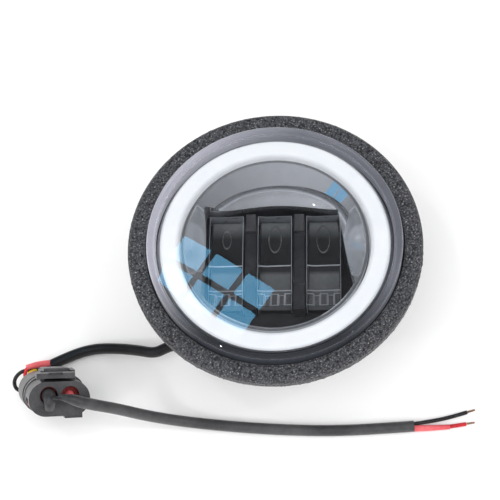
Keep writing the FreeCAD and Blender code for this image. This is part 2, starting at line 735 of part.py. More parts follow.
def make_latch():
    """Rocking lever on the plug: its hook holds the socket's catch, its pad is pressed to let go."""
    at = pair_frame()
    foot = "shroud_end - 6.7"
    arm = block("latch_arm", "latch_wide", "latch_thick", "plug_back_end - shroud_end + 4.7",
                y="latch_height", z=foot)
    hook = block("latch_hook", "5", "latch_thick", "2.4", y="latch_height - 0.35", z=foot)
    pad = block("latch_pad", "latch_wide + 5.6", "2.1", "3.4",
                x="-1.5", y="latch_pad_top - 1.05", z="plug_back_end - 3.2")
    notch = block("latch_notch", "5.4", "2", "3", x="-1.5", y="latch_pad_top + 0.2", z="plug_back_end - 1.6")
    boss = laid_rod("latch_boss", "2", "latch_wide", latch_axle("latch_wide / 2"))
    eye = laid_rod("latch_eye", "0.85", "latch_wide + 4", latch_axle("latch_wide / 2 + 2"))
    node("plug_latch", cut("latch_shape", join("latch_solid", [arm, hook, pad, boss]), [eye, notch]), at)


# ================================================================ lead, pigtail and wires
LEAD_ROUTE = [
    (-43.05, -23.67, 8.5), (-46.6, -24.7, 8.5), (-51.6, -27.3, 8.2), (-59.0, -25.4, 6.8),
    (-68.2, -23.6, 4.4), (-78.2, -23.0, 2.7), (-87.8, -25.9, 2.7), (-96.0, -31.0, 4.4),
]
PIGTAIL_ROUTE = [
    (-75.3, -56.8, 33.8), (-70.1, -56.6, 29.5), (-63.1, -55.7, 22.0), (-54.1, -55.5, 13.5),
    (-43.1, -55.4, 6.2), (-29.6, -56.1, 2.9), (-12.0, -57.6, 2.35), (8.2, -58.7, 2.35),
    (24.4, -58.8, 2.35), (40.5, -58.0, 2.35), (54.1, -57.0, 2.35),
]
WIRE_ROUTES = {
    "lamp_wire_red": [
        (-96.3, -30.4, 5.1), (-100.8, -32.0, 5.2), (-104.6, -34.3, 4.1), (-105.0, -37.5, 2.6),
        (-101.6, -37.6, 1.5), (-97.0, -36.2, 1.2), (-94.0, -36.6, 2.0), (-92.9, -38.0, 3.8),
    ],
    "lamp_wire_yellow": [
        (-96.3, -31.3, 3.1), (-100.2, -33.0, 2.9), (-102.8, -35.2, 3.0), (-102.1, -37.8, 4.0),
        (-99.2, -38.0, 3.8), (-96.8, -38.7, 5.2),
    ],
    "lamp_wire_black": [
        (-95.7, -32.1, 4.6), (-100.6, -34.5, 5.5), (-106.0, -35.7, 5.9), (-109.8, -38.5, 4.6),
        (-109.7, -41.4, 3.0), (-106.8, -42.3, 3.2), (-103.7, -39.3, 4.9), (-100.7, -39.3, 6.6),
    ],
    "plug_wire_red": [
        (-83.1, -49.8, 25.6), (-80.3, -53.2, 31.9), (-78.9, -54.9, 34.2), (-77.0, -56.2, 34.8),
        (-75.3, -56.5, 34.5),
    ],
    "plug_wire_black": [
        (-90.9, -51.1, 28.5), (-88.1, -54.5, 34.7), (-86.4, -57.3, 37.1), (-83.5, -60.2, 36.9),
        (-79.6, -60.6, 35.4), (-75.5, -57.2, 33.0),
    ],
    "tail_wire_red": [
        (54.1, -57.9, 2.1), (61.0, -57.7, 1.9), (68.4, -57.0, 1.3), (75.0, -55.8, 1.1),
    ],
    "tail_wire_black": [
        (54.1, -56.1, 2.5), (61.2, -54.9, 2.2), (68.6, -53.2, 1.5), (75.6, -50.9, 1.1),
    ],
}
STRIPPED_LENGTH = 3.5


def make_lead_inside():
    """The lead's stretch inside the gland, and the three wires that run on to the driver board."""
    sheath = rod("lead_inner_sheath", "cable_radius", "gland_reach + 7")
    node("lead_inner", group("lead_inner_set", [sheath]), gland_frame(-7))
    start = gland_frame(-7).Base
    wires = []
    for index, (across, along) in enumerate(((-17, 3), (-17, 0), (-17, -3))):
        foot = Vector(across, along, value("board_height"))
        beside = start + Vector(0, 1.2 * (1 - index), 0)
        wires.append(inner_wire("inner_wire_%d" % (index + 1), beside, foot))
    node("inner_wires", group("inner_wire_set", wires))


def inner_wire(name, start, foot):
    """A straight wire end with its own small joint on the board."""
    wire = doc.addObject("Part::Feature", name)
    along = foot - start
    wire.Shape = Part.makeCylinder(value("core_radius") * 0.7, along.Length, start, along)
    return wire


def make_cords():
    """The lead and the pigtail, their separate wires, and the bare strands at the supply end."""
    tube("lamp_cable", LEAD_ROUTE, "cable_radius")
    tube("pigtail_cable", PIGTAIL_ROUTE, "cable_radius")
    for label, route in WIRE_ROUTES.items():
        tube(label, route, "core_radius")
    strands = []
    for label in ("tail_wire_red", "tail_wire_black"):
        last, end = [Vector(*point) for point in WIRE_ROUTES[label][-2:]]
        strand = doc.addObject("Part::Feature", label + "_strand")
        strand.Shape = Part.makeCylinder(value("core_radius") * 0.55, STRIPPED_LENGTH, end, end - last)
        strands.append(strand)
    node("tail_bare_ends", group("bare_end_set", strands))


fill_sheet()
make_housing()
make_rear_cover()
make_gland()
make_driver()
make_led_engine()
make_reflector()
make_optics()
make_halo()
make_lens()
make_socket()
make_plug()
make_latch()
make_lead_inside()
make_cords()
doc.recompute()


# ---------------------------------------------------------------- check and write
def check():
    faults = []
    for thing in doc.Objects:
        if "Invalid" in thing.State or "Error" in thing.State:
            faults.append("%s is %s" % (thing.Label, thing.State))
    for piece in NODES:
        if piece.Shape.isNull() or not piece.Shape.isValid() or not piece.Shape.Solids:
            faults.append("%s has no valid solid" % piece.Label)
    if faults:
        raise SystemExit("\n".join(faults))


def write():
    os.makedirs("parts", exist_ok=True)
    for piece in NODES:
        piece.Shape.exportStep("parts/%s.step" % piece.Label)
        count = len(piece.Shape.Solids)
        print("%-22s solids %2d  volume %10.2f" % (piece.Label, count, piece.Shape.Volume))


check()
write()
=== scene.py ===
# %% [markdown]
# # A round LED fog light with its lead and connector
# The lamp's casting, covers, boards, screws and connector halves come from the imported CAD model.
# This notebook gives them real finishes, and models what a CAD solid shows too plainly: the rough
# cast rim, the clear lens, the glowing ring, the bright reflector, the optic blocks and the wires.

import bpy
import json
import math
from mathutils import Matrix, Quaternion, Vector


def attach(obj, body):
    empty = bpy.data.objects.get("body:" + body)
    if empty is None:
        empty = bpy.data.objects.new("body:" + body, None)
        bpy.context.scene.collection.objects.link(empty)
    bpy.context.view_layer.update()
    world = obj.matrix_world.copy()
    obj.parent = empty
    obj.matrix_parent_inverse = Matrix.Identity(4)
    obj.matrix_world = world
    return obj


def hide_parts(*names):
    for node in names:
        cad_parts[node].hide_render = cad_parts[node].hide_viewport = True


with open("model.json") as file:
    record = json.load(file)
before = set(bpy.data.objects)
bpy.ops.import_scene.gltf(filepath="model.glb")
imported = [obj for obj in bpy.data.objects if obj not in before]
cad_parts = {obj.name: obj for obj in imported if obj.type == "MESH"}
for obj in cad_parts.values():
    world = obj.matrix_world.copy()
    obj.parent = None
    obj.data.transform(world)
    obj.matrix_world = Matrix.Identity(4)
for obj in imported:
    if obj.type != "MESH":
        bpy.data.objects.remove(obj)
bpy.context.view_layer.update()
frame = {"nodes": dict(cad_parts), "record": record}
nodes = frame["nodes"]
MM = 0.001

# %% [markdown]
# ## The camera
# The lamp lies on its back and is seen from steeply above, from a little to the right, with the
# camera rolled so that the rows of the optic blocks lean. A long lens keeps the perspective gentle.

# %% Camera
AZIMUTH = math.radians(9.3)
ELEVATION = math.radians(64.8)
ROLL = math.radians(-9.12)
DISTANCE = 0.5
AIM = Vector((-0.0094, -0.0029, 0.056))
FOCAL_LENGTH = 93.3

level = Vector((math.cos(AZIMUTH), math.sin(AZIMUTH), 0))
back = Vector((math.sin(AZIMUTH) * math.cos(ELEVATION), -math.cos(AZIMUTH) * math.cos(ELEVATION),
               math.sin(ELEVATION)))
right = level * math.cos(ROLL) + back.cross(level) * math.sin(ROLL)
camera_data = bpy.data.cameras.new("camera")
camera_data.lens = FOCAL_LENGTH
camera_data.sensor_width = 36
camera = bpy.data.objects.new("camera", camera_data)
bpy.context.scene.collection.objects.link(camera)
turn = Matrix((right, back.cross(right), back)).transposed().to_4x4()
camera.matrix_world = Matrix.Translation(AIM + back * DISTANCE) @ turn
bpy.context.scene.camera = camera
bpy.context.scene.view_settings.view_transform = "Standard"
print("camera at", tuple(round(x, 3) for x in camera.matrix_world.translation))

# %% [markdown]
# ## The cords
# A lead or a wire is one smooth line with a round section. A NURBS curve with a bevel is exactly
# that: the control points pull the line along like fingers on a cable, so a handful of points,
# the same ones as the CAD route has, make a natural bend. Order 3 and pinned ends are set after
# the points exist, because before that Blender clips them to the one point it has. The bevel is
# 1 and each point holds the real radius, so that a boot or a sleeve can taper from point to point.


# %% How a cord is made
def new_cord(name, steps=14, roundness=6):
    """An empty round cord, whose points will each hold the real radius."""
    curve = bpy.data.curves.new(name, "CURVE")
    curve.dimensions = "3D"
    curve.resolution_u = steps
    curve.bevel_depth = 1.0
    curve.bevel_resolution = roundness
    curve.use_fill_caps = True
    cord = bpy.data.objects.new(name, curve)
    bpy.context.scene.collection.objects.link(cord)
    return cord


def add_line(cord, route, *diameters):
    """Add an open NURBS line, in metres, with one diameter or one for each point."""
    spline = cord.data.splines.new("NURBS")
    spline.points.add(len(route) - 1)
    for index, (point, place) in enumerate(zip(spline.points, route)):
        point.co = (*place, 1)
        point.radius = diameters[index % len(diameters)] / 2
    spline.order_u = 3
    spline.use_endpoint_u = True


def cord_curve(name, body, slot, route, *diameters):
    """A cord of one line that rides on a body. The slot is not used."""
    cord = new_cord(name)
    add_line(cord, route, *diameters)
    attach(cord, body)
    return cord


print("cords are round NURBS lines of order 3")

# %% The routes, in metres
CABLE_DIAMETER = 0.0045
WIRE_DIAMETER = 0.0016
LEAD_ROUTE = [
    (-0.04305, -0.02367, 0.0085), (-0.0466, -0.0247, 0.0085), (-0.0516, -0.0273, 0.0082),
    (-0.0590, -0.0254, 0.0068), (-0.0682, -0.0236, 0.0044), (-0.0782, -0.0230, 0.0027),
    (-0.0878, -0.0259, 0.0027), (-0.0960, -0.0310, 0.0044),
]
PIGTAIL_ROUTE = [
    (-0.0753, -0.0568, 0.0338), (-0.0701, -0.0566, 0.0295), (-0.0631, -0.0557, 0.0220),
    (-0.0541, -0.0555, 0.0135), (-0.0431, -0.0554, 0.0062), (-0.0296, -0.0561, 0.0029),
    (-0.0120, -0.0576, 0.00235), (0.0082, -0.0587, 0.00235), (0.0244, -0.0588, 0.00235),
    (0.0405, -0.0580, 0.00235), (0.0541, -0.0570, 0.00235),
]
WIRE_ROUTES = {
    "lamp_wire_red": [
        (-0.0963, -0.0304, 0.0051), (-0.1000, -0.0320, 0.0092), (-0.1044, -0.0339, 0.0104),
        (-0.1056, -0.0375, 0.0076), (-0.1030, -0.0384, 0.0046), (-0.0978, -0.0366, 0.0022),
        (-0.0940, -0.0366, 0.0020), (-0.0929, -0.0380, 0.0038),
    ],
    "lamp_wire_yellow": [
        (-0.0963, -0.0313, 0.0031), (-0.0996, -0.0334, 0.0070), (-0.1026, -0.0348, 0.0088),
        (-0.1038, -0.0368, 0.0086), (-0.1010, -0.0384, 0.0056), (-0.0968, -0.0387, 0.0052),
    ],
    "lamp_wire_black": [
        (-0.0957, -0.0321, 0.0046), (-0.1006, -0.0341, 0.0080), (-0.1062, -0.0349, 0.0096),
        (-0.1097, -0.0380, 0.0082), (-0.1097, -0.0412, 0.0056), (-0.1070, -0.0423, 0.0040),
        (-0.1037, -0.0393, 0.0049), (-0.1007, -0.0393, 0.0066),
    ],
    "plug_wire_red": [
        (-0.0831, -0.0498, 0.0256), (-0.0803, -0.0532, 0.0319), (-0.0789, -0.0549, 0.0342),
        (-0.0770, -0.0562, 0.0348), (-0.0753, -0.0565, 0.0345),
    ],
    "plug_wire_black": [
        (-0.0909, -0.0511, 0.0285), (-0.0881, -0.0545, 0.0347), (-0.0866, -0.0566, 0.0378),
        (-0.0842, -0.0565, 0.0385), (-0.0806, -0.0562, 0.0370), (-0.0755, -0.0569, 0.0336),
    ],
    "tail_wire_red": [
        (0.0541, -0.0579, 0.0021), (0.0610, -0.0577, 0.0019), (0.0684, -0.0570, 0.0013),
        (0.0750, -0.0558, 0.0011),
    ],
    "tail_wire_black": [
        (0.0541, -0.0561, 0.0025), (0.0612, -0.0549, 0.0022), (0.0686, -0.0532, 0.0015),
        (0.0756, -0.0509, 0.0011),
    ],
}

# %% Lay the lead, the pigtail and their wires
lead = cord_curve("lamp_lead", "lamp", "cable_black", LEAD_ROUTE, CABLE_DIAMETER)
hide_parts("lamp_cable")
pigtail = cord_curve("supply_pigtail", "plug", "cable_grey", PIGTAIL_ROUTE, CABLE_DIAMETER)
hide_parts("pigtail_cable")
wires = {}
for wire_name, wire_route in WIRE_ROUTES.items():
    wire = cord_curve(wire_name + "_insulation", "lamp" if wire_name.startswith("lamp") else "plug",
                      "wire_" + wire_name.split("_")[-1], wire_route, WIRE_DIAMETER)
    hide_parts(wire_name)
    wires[wire_name] = wire
print("cords", lead.name, pigtail.name, "and", len(wires), "single wires")

# %% [markdown]
# ## Working in edit mode
# Every operator acts on what is selected, so each helper starts by deselecting everything. Round
# pieces are made as on a lathe: a circle stands on the first ring of an outline and is extruded,
# moved and scaled from ring to ring. That gives clean quads all round, which bevel and shade well.


# %% Helpers for modelling
def clear_selection():
    """Nothing selected, and object mode."""
    if bpy.context.object and bpy.context.object.mode != "OBJECT":
        bpy.ops.object.mode_set(mode="OBJECT")
    bpy.ops.object.select_all(action="DESELECT")


def only(piece):
    """Select this piece alone and make it active."""
    clear_selection()
    piece.select_set(True)
    bpy.context.view_layer.objects.active = piece


def settle(piece, angle=35):
    """Put the piece's place into its mesh, turn its faces outwards and shade it by angle."""
    only(piece)
    bpy.ops.object.transform_apply(location=True, rotation=True, scale=True)
    bpy.ops.object.mode_set(mode="EDIT")
    bpy.ops.mesh.select_all(action="SELECT")
    bpy.ops.mesh.remove_doubles(threshold=0.000002)
    bpy.ops.mesh.normals_make_consistent(inside=False)
    bpy.ops.object.mode_set(mode="OBJECT")
    bpy.ops.object.shade_smooth_by_angle(angle=math.radians(angle))
    return piece


def apply_modifier(piece, name, kind, **settings):
    """Add a modifier, set it up and apply it."""
    only(piece)
    modifier = piece.modifiers.new(name, kind)
    for setting, value in settings.items():
        setattr(modifier, setting, value)
    bpy.ops.object.modifier_apply(modifier=modifier.name)
    return piece


def soften(piece, width, segments=3, angle=30, material=-1):
    """Round the edges that turn more than the angle, in the piece's own or a numbered finish."""
    return apply_modifier(piece, "soft edges", "BEVEL", width=width * MM, segments=segments,
                          limit_method="ANGLE", angle_limit=math.radians(angle), material=material)


def close_pole():
    """Draw the selected ring of edges in to one point."""
    bpy.ops.mesh.extrude_edges_move()
    bpy.ops.mesh.merge(type="CENTER")


def select_open_edges():
    """Select the edges that have a face on one side only."""
    bpy.ops.mesh.select_mode(type="EDGE")
    bpy.ops.mesh.select_all(action="DESELECT")
    bpy.ops.mesh.select_non_manifold(extend=False, use_wire=False, use_boundary=True,
                                     use_multi_face=False, use_non_contiguous=False, use_verts=False)


def named(name):
    """Name the new primitive and put its place and size into its mesh."""
    piece = bpy.context.object
    piece.name = name
    bpy.ops.object.transform_apply(location=True, rotation=True, scale=True)
    return piece


def lathe(name, outline, segments=160, poles=False):
    """Turn an outline of (radius, height) in mm about Z. Its ends are bridged, or closed at poles."""
    clear_selection()
    radius, height = outline[0]
    bpy.ops.mesh.primitive_circle_add(vertices=segments, radius=radius * MM,
                                      location=(0, 0, height * MM))
    piece = named(name)
    bpy.ops.object.mode_set(mode="EDIT")
    bpy.ops.mesh.select_mode(type="EDGE")
    for (radius, height), (next_radius, next_height) in zip(outline, outline[1:]):
        rise = (next_height - height) * MM
        scale = next_radius / radius
        bpy.ops.mesh.extrude_edges_move(TRANSFORM_OT_translate={"value": (0, 0, rise)})
        bpy.ops.transform.resize(value=(scale, scale, 1), center_override=(0, 0, next_height * MM))
    if poles:
        close_pole()
        select_open_edges()
        close_pole()
    else:
        select_open_edges()
        bpy.ops.mesh.bridge_edge_loops()
    return piece


def block(name, low, high):
    """A box between two corners in mm."""
    clear_selection()
    size = [(b - a) * MM for a, b in zip(low, high)]
    centre = [(a + b) / 2 * MM for a, b in zip(low, high)]
    bpy.ops.mesh.primitive_cube_add(size=1, location=centre, scale=size)
    return named(name)


def pick_faces(piece, wanted):
    """In edit mode, select the faces whose centre (mm) and normal pass the test."""
    bpy.ops.mesh.select_mode(type="FACE")
    bpy.ops.mesh.select_all(action="DESELECT")
    bpy.ops.object.mode_set(mode="OBJECT")
    for face in piece.data.polygons:
        face.select = bool(wanted(face.center / MM, face.normal))
    bpy.ops.object.mode_set(mode="EDIT")


def slice_at(piece, place, normal):
    """Cut new edges right through the piece where a plane crosses it."""
    bpy.ops.mesh.select_all(action="SELECT")
    bpy.ops.mesh.bisect(plane_co=[x * MM for x in place], plane_no=normal)


def arc(centre, radius, start, end, steps):
    """Outline points along an arc, angles in degrees from the +radius direction."""
    angles = [math.radians(start + (end - start) * step / steps) for step in range(steps + 1)]
    return [(centre[0] + radius * math.cos(a), centre[1] + radius * math.sin(a)) for a in angles]


def fine(outline, step):
    """The same outline with more rings, none further apart than the step."""
    rings = [outline[0]]
    for start, end in zip(outline, outline[1:]):
        count = max(1, math.ceil(math.dist(start, end) / step))
        for index in range(1, count + 1):
            share = index / count
            rings.append(tuple(a + (b - a) * share for a, b in zip(start, end)))
    return rings


print("modelling helpers ready, in units of", MM, "m")


# %% [markdown]
# ## Node helpers
# Materials are built from nodes in code. A few small helpers keep that readable: they add a node,
# fill its sockets with a value or with a link from another node, mix colours and do the sums.


# %% Helpers for nodes
MIX_INPUTS = (0, 6, 7)  # where a colour Mix node keeps its factor and its two colours
MIX_OUTPUT = 2


def put(tree, socket, value):
    """Fill one socket: another socket makes a link, and anything else is set."""
    if isinstance(value, bpy.types.NodeSocket):
        tree.links.new(value, socket)
    else:
        socket.default_value = value


def fill(tree, node, **sockets):
    """Fill sockets by name, with _ for the spaces in a name."""
    for name, value in sockets.items():
        put(tree, node.inputs[name.replace("_", " ")], value)
    return node


def add(tree, kind, **sockets):
    """Add a node and fill its sockets."""
    return fill(tree, tree.nodes.new(kind), **sockets)


def mix_colours(tree, mask, first, second):
    """The first colour where the mask is 0 and the second where it is 1."""
    node = tree.nodes.new("ShaderNodeMix")
    node.data_type = "RGBA"
    for index, value in zip(MIX_INPUTS, (mask, first, second)):
        put(tree, node.inputs[index], value)
    return node.outputs[MIX_OUTPUT]


def end_in(tree, choice, first, second, output):
    """The output shows the first shader where the choice is 0 and the second where it is 1."""
    choose = tree.nodes.new("ShaderNodeMixShader")
    for socket, value in zip(choose.inputs, (choice, first, second)):
        put(tree, socket, value)
    tree.links.new(choose.outputs[0], tree.nodes[output].inputs["Surface"])


def ranged(tree, value, low, high, to_low=0.0, to_high=1.0):
    """The value's stretch from low to high becomes to_low to to_high."""
    return add(tree, "ShaderNodeMapRange", Value=value, From_Min=low, From_Max=high,
               To_Min=to_low, To_Max=to_high).outputs["Result"]


def maths(tree, operation, *values):
    """One Math node with two or three inputs."""
    node = tree.nodes.new("ShaderNodeMath")
    node.operation = operation
    for socket, value in zip(node.inputs, values):
        put(tree, socket, value)
    return node.outputs[0]


def new_group(name, inputs, outputs):
    """An empty shader group with float inputs, a vector input and float outputs."""
    group = bpy.data.node_groups.new(name, "ShaderNodeTree")
    group.interface.new_socket("Vector", in_out="INPUT", socket_type="NodeSocketVector")
    for label, value in inputs.items():
        socket = group.interface.new_socket(label, in_out="INPUT", socket_type="NodeSocketFloat")
        socket.default_value = value
    for label in outputs:
        group.interface.new_socket(label, in_out="OUTPUT", socket_type="NodeSocketFloat")
    entry = group.nodes.new("NodeGroupInput")
    leave = group.nodes.new("NodeGroupOutput")
    return group, entry.outputs, leave.inputs


print("node helpers ready")


# %% [markdown]
# ## Effects that many finishes share
# Moulded grain, dust and scuffs turn up on nearly every piece, at different scales. Each is a node
# group that puts out masks and heights only, so that one definition serves plastic, rubber, metal
# and paint, and each material decides what the mask does to its colour, gloss or relief.


# %% Grain, dust, scuffs and crinkle
def make_grain():
    """Moulded grain: fine noise with a slow change of tone."""
    group, given, out = new_group("moulded grain", {"Scale": 900.0}, ["Mask", "Height"])
    coarse = add(group, "ShaderNodeTexNoise", Vector=given["Vector"], Scale=given["Scale"], Detail=4.0)
    tone_scale = maths(group, "MULTIPLY", given["Scale"], 0.12)
    tone = add(group, "ShaderNodeTexNoise", Vector=given["Vector"], Scale=tone_scale, Detail=3.0)
    both = maths(group, "MULTIPLY_ADD", coarse.outputs[0], 0.45, tone.outputs[0])
    group.links.new(ranged(group, both, 0.45, 1.0), out["Mask"])
    group.links.new(coarse.outputs[0], out["Height"])
    return group


def make_dust():
    """Dust: small round specks that gather in patches."""
    group, given, out = new_group("dust", {"Scale": 1500.0}, ["Mask"])
    grains = add(group, "ShaderNodeTexVoronoi", Vector=given["Vector"], Scale=given["Scale"])
    patch_scale = maths(group, "MULTIPLY", given["Scale"], 0.05)
    patches = add(group, "ShaderNodeTexNoise", Vector=given["Vector"], Scale=patch_scale, Detail=3.0)
    spots = ranged(group, grains.outputs["Distance"], 0.16, 0.06)
    cover = ranged(group, patches.outputs[0], 0.48, 0.7)
    group.links.new(maths(group, "MULTIPLY", spots, cover), out["Mask"])
    return group


def make_scuffs():
    """Scuffs: long thin streaks that all lie one way."""
    group, given, out = new_group("scuffs", {"Scale": 60.0}, ["Mask"])
    lying = add(group, "ShaderNodeMapping", Vector=given["Vector"], Rotation=(0.2, 0.4, 0.9),
                Scale=(1.0, 14.0, 14.0))
    streaks = add(group, "ShaderNodeTexNoise", Vector=lying.outputs[0], Scale=given["Scale"],
                  Detail=6.0)
    group.links.new(ranged(group, streaks.outputs[0], 0.6, 0.72), out["Mask"])
    return group


def make_crinkle():
    """Crinkle coat: rough cells, with a pale speck painted where a peak would catch the light, a painted
    highlight.
    """
    group, given, out = new_group("crinkle coat", {"Scale": 1500.0}, ["Mask", "Height", "Painted_glints"])
    cells = add(group, "ShaderNodeTexVoronoi", Vector=given["Vector"], Scale=given["Scale"])
    rough_scale = maths(group, "MULTIPLY", given["Scale"], 1.6)
    rough = add(group, "ShaderNodeTexNoise", Vector=given["Vector"], Scale=rough_scale, Detail=5.0)
    height = maths(group, "SUBTRACT", rough.outputs[0], cells.outputs["Distance"])
    # Painted highlights: pale specks on the peaks, where a peak would catch the light.
    specks = maths(group, "MULTIPLY", ranged(group, rough.outputs[0], 0.55, 0.68),
                   ranged(group, cells.outputs["Distance"], 0.5, 0.15))
    # The mask is the height; the cast finish uses it to paint shade into the valleys and light onto the
    # peaks.
    group.links.new(ranged(group, height, -0.4, 0.4), out["Mask"])
    group.links.new(height, out["Height"])
    group.links.new(specks, out["Painted_glints"])
    return group


GRAIN = make_grain()
DUST = make_dust()
SCUFFS = make_scuffs()
CRINKLE = make_crinkle()
print("shared effects", [group.name for group in bpy.data.node_groups])

# %% [markdown]
# ## The everyday finishes
# One recipe makes the plastics, rubbers, boards and metals: two tones mixed by grain, a roughness
# that follows the same grain, fine relief, and some dust and scuffs on top. What sets the finishes
# apart is the numbers: how far apart the tones are, how coarse the grain is and how it shines.


# %% The recipe for a finish
DUST_COLOUR = (0.42, 0.41, 0.39, 1)
DUST_SCALE = 1400
SCUFF_SCALE = 55
GRAIN_DEPTH = 0.0002


def place_group(tree, group, scale, vector):
    """One of the shared effects, at a scale of its own."""
    node = tree.nodes.new("ShaderNodeGroup")
    node.node_tree = group
    return fill(tree, node, Vector=vector, Scale=scale).outputs


def new_finish(name):
    """A new material, with its node tree and its shader."""
    material = bpy.data.materials.new(name)
    material.use_nodes = True
    return material, material.node_tree, material.node_tree.nodes["Principled BSDF"]


def place_on_piece(tree):
    """Object coordinates, so that a pattern keeps its place on the piece."""
    return add(tree, "ShaderNodeTexCoord").outputs["Object"]


def make_finish(name, dark, light, rough, grain=900, bump=0.15, dust=0.15, scuffs=0.1, **constants):
    """A finish of two tones by grain. Constants are sockets of the shader, with _ for spaces."""
    material, tree, shader = new_finish(name)
    where = place_on_piece(tree)
    grains = place_group(tree, GRAIN, grain, where)
    specks = place_group(tree, DUST, DUST_SCALE, where)["Mask"]
    streaks = place_group(tree, SCUFFS, SCUFF_SCALE, where)["Mask"]
    colour = mix_colours(tree, grains["Mask"], (*dark, 1), (*light, 1))
    colour = mix_colours(tree, maths(tree, "MULTIPLY", specks, dust), colour, DUST_COLOUR)
    shine = maths(tree, "MULTIPLY_ADD", streaks, scuffs, ranged(tree, grains["Mask"], 0, 1, *rough))
    relief = add(tree, "ShaderNodeBump", Strength=bump, Distance=GRAIN_DEPTH, Height=grains["Height"])
    fill(tree, shader, Base_Color=colour, Roughness=shine, Normal=relief.outputs[0], **constants)
    return material


print("dust", DUST_SCALE, "and scuffs", SCUFF_SCALE, "to the metre")

# %% The everyday finishes, by the record's slot
finishes = {
    "steel": make_finish("zinc plated steel", (0.42, 0.42, 0.44), (0.66, 0.66, 0.68), (0.28, 0.45),
                         grain=1500, bump=0.08, scuffs=0.2, Metallic=1.0),
    "black_rubber": make_finish("black rubber", (0.008, 0.008, 0.009), (0.024, 0.024, 0.025),
                                (0.6, 0.8)),
    "black_plastic": make_finish("black moulded plastic", (0.01, 0.01, 0.012), (0.035, 0.036, 0.04),
                                 (0.3, 0.45), grain=1200),
    "grey_nylon": make_finish("grey nylon", (0.3, 0.31, 0.32), (0.5, 0.51, 0.52), (0.4, 0.55)),
    "circuit_board": make_finish("green solder mask", (0.01, 0.07, 0.03), (0.02, 0.16, 0.06),
                                 (0.25, 0.4), grain=500, Coat_Weight=0.4),
    "ferrite": make_finish("ferrite", (0.03, 0.028, 0.026), (0.09, 0.085, 0.08), (0.55, 0.75)),
    "bare_aluminium": make_finish("milled aluminium", (0.6, 0.61, 0.62), (0.82, 0.83, 0.84),
                                  (0.25, 0.42), grain=1600, scuffs=0.25, Metallic=1.0),
    "thermal_grey": make_finish("thermal pad", (0.34, 0.36, 0.4), (0.5, 0.52, 0.55), (0.6, 0.8)),
    "smoke_plastic": make_finish("satin smoke plastic", (0.15, 0.16, 0.18), (0.26, 0.27, 0.3),
                                 (0.25, 0.35), grain=1500, bump=0.05),
    "connector_grey": make_finish("glass filled nylon", (0.030, 0.030, 0.033), (0.080, 0.080, 0.085),
                                  (0.28, 0.45), grain=1100, bump=0.25),
    "tinned_brass": make_finish("tinned brass", (0.55, 0.52, 0.42), (0.8, 0.77, 0.68), (0.2, 0.35),
                                grain=1600, Metallic=1.0),
    "red_silicone": make_finish("red silicone", (0.14, 0.008, 0.008), (0.34, 0.025, 0.022),
                                (0.5, 0.65), Subsurface_Weight=0.05),
    "lock_red": make_finish("dark red plastic", (0.12, 0.008, 0.012), (0.28, 0.02, 0.03), (0.35, 0.5)),
    "cable_black": make_finish("black cable sheath", (0.004, 0.004, 0.005), (0.014, 0.014, 0.015),
                               (0.36, 0.5), grain=700, bump=0.1),
    "cable_grey": make_finish("grey cable sheath", (0.030, 0.030, 0.032), (0.088, 0.088, 0.091),
                              (0.3, 0.45), grain=500, bump=0.12),
    "wire_red": make_finish("red insulation", (0.42, 0.01, 0.015), (0.7, 0.03, 0.04), (0.25, 0.35),
                            bump=0.05),
    "wire_yellow": make_finish("yellow insulation", (0.6, 0.34, 0.01), (0.85, 0.58, 0.03), (0.25, 0.35),
                               bump=0.05),
    "wire_black": make_finish("black insulation", (0.008, 0.008, 0.009), (0.025, 0.025, 0.027),
                              (0.25, 0.35), bump=0.05),
    "tinned_copper": make_finish("copper strands", (0.5, 0.28, 0.16), (0.8, 0.55, 0.4), (0.25, 0.4),
                                 grain=2500, Metallic=1.0),
}
print("everyday finishes", len(finishes))

# %% [markdown]
# ## The cast finish
# The casting wears a thick crinkle powder coat: black, matt in its valleys. Its valleys are painted
# darker as painted shade, its peaks lighter as painted light, and pale specks on the peaks are painted
# highlights where a peak catches the light. The crinkle group gives all three, at half a millimetre.


# %% Crinkle powder coat
# Painted shade for the valleys, painted light for the peaks and a painted highlight for the specks.
COAT_VALLEY_SHADE = (0.006, 0.006, 0.008, 1)
COAT_PEAK_LIGHT = (0.105, 0.106, 0.115, 1)
COAT_PAINTED_GLINT = (0.62, 0.63, 0.66, 1)
COAT_DEPTH = 0.0004


def make_cast_finish(name, scale, bump, glint):
    """Powder coat, with crinkles at a scale, a relief, painted shade in the valleys, painted light on
    the peaks and a share of painted highlight specks.
    """
    material, tree, shader = new_finish(name)
    where = place_on_piece(tree)
    crinkle = place_group(tree, CRINKLE, scale, where)
    dust = place_group(tree, DUST, 900, where)["Mask"]
    colour = mix_colours(tree, crinkle["Mask"], COAT_VALLEY_SHADE, COAT_PEAK_LIGHT)
    colour = mix_colours(tree, maths(tree, "MULTIPLY", crinkle["Painted_glints"], glint), colour, COAT_PAINTED_GLINT)
    colour = mix_colours(tree, maths(tree, "MULTIPLY", dust, 0.25), colour, DUST_COLOUR)
    relief = add(tree, "ShaderNodeBump", Strength=bump, Distance=COAT_DEPTH, Height=crinkle["Height"])
    fill(tree, shader, Base_Color=colour, Normal=relief.outputs[0],
         Roughness=ranged(tree, crinkle["Mask"], 0, 1, 0.62, 0.34))
    return material


finishes["cast_black"] = make_cast_finish("crinkle powder coat", 1500, 0.6, 0.45)
rim_finish = make_cast_finish("coarse crinkle on the rim", 1250, 0.8, 0.8)
print("cast finishes", finishes["cast_black"].name, "and", rim_finish.name)

# %% [markdown]
# ## Chrome, glass and light
# The reflector is plastic with a vacuum-deposited mirror, so it is a metal with a very low
# roughness and a faint haze. The lens and the optic blocks are clear: full transmission, and for
# rays that come from lamps a Transparent shader, because light has to get in through the lens to
# show the inside. The ring is an opal guide: it glows all round, and dims towards its two edges.


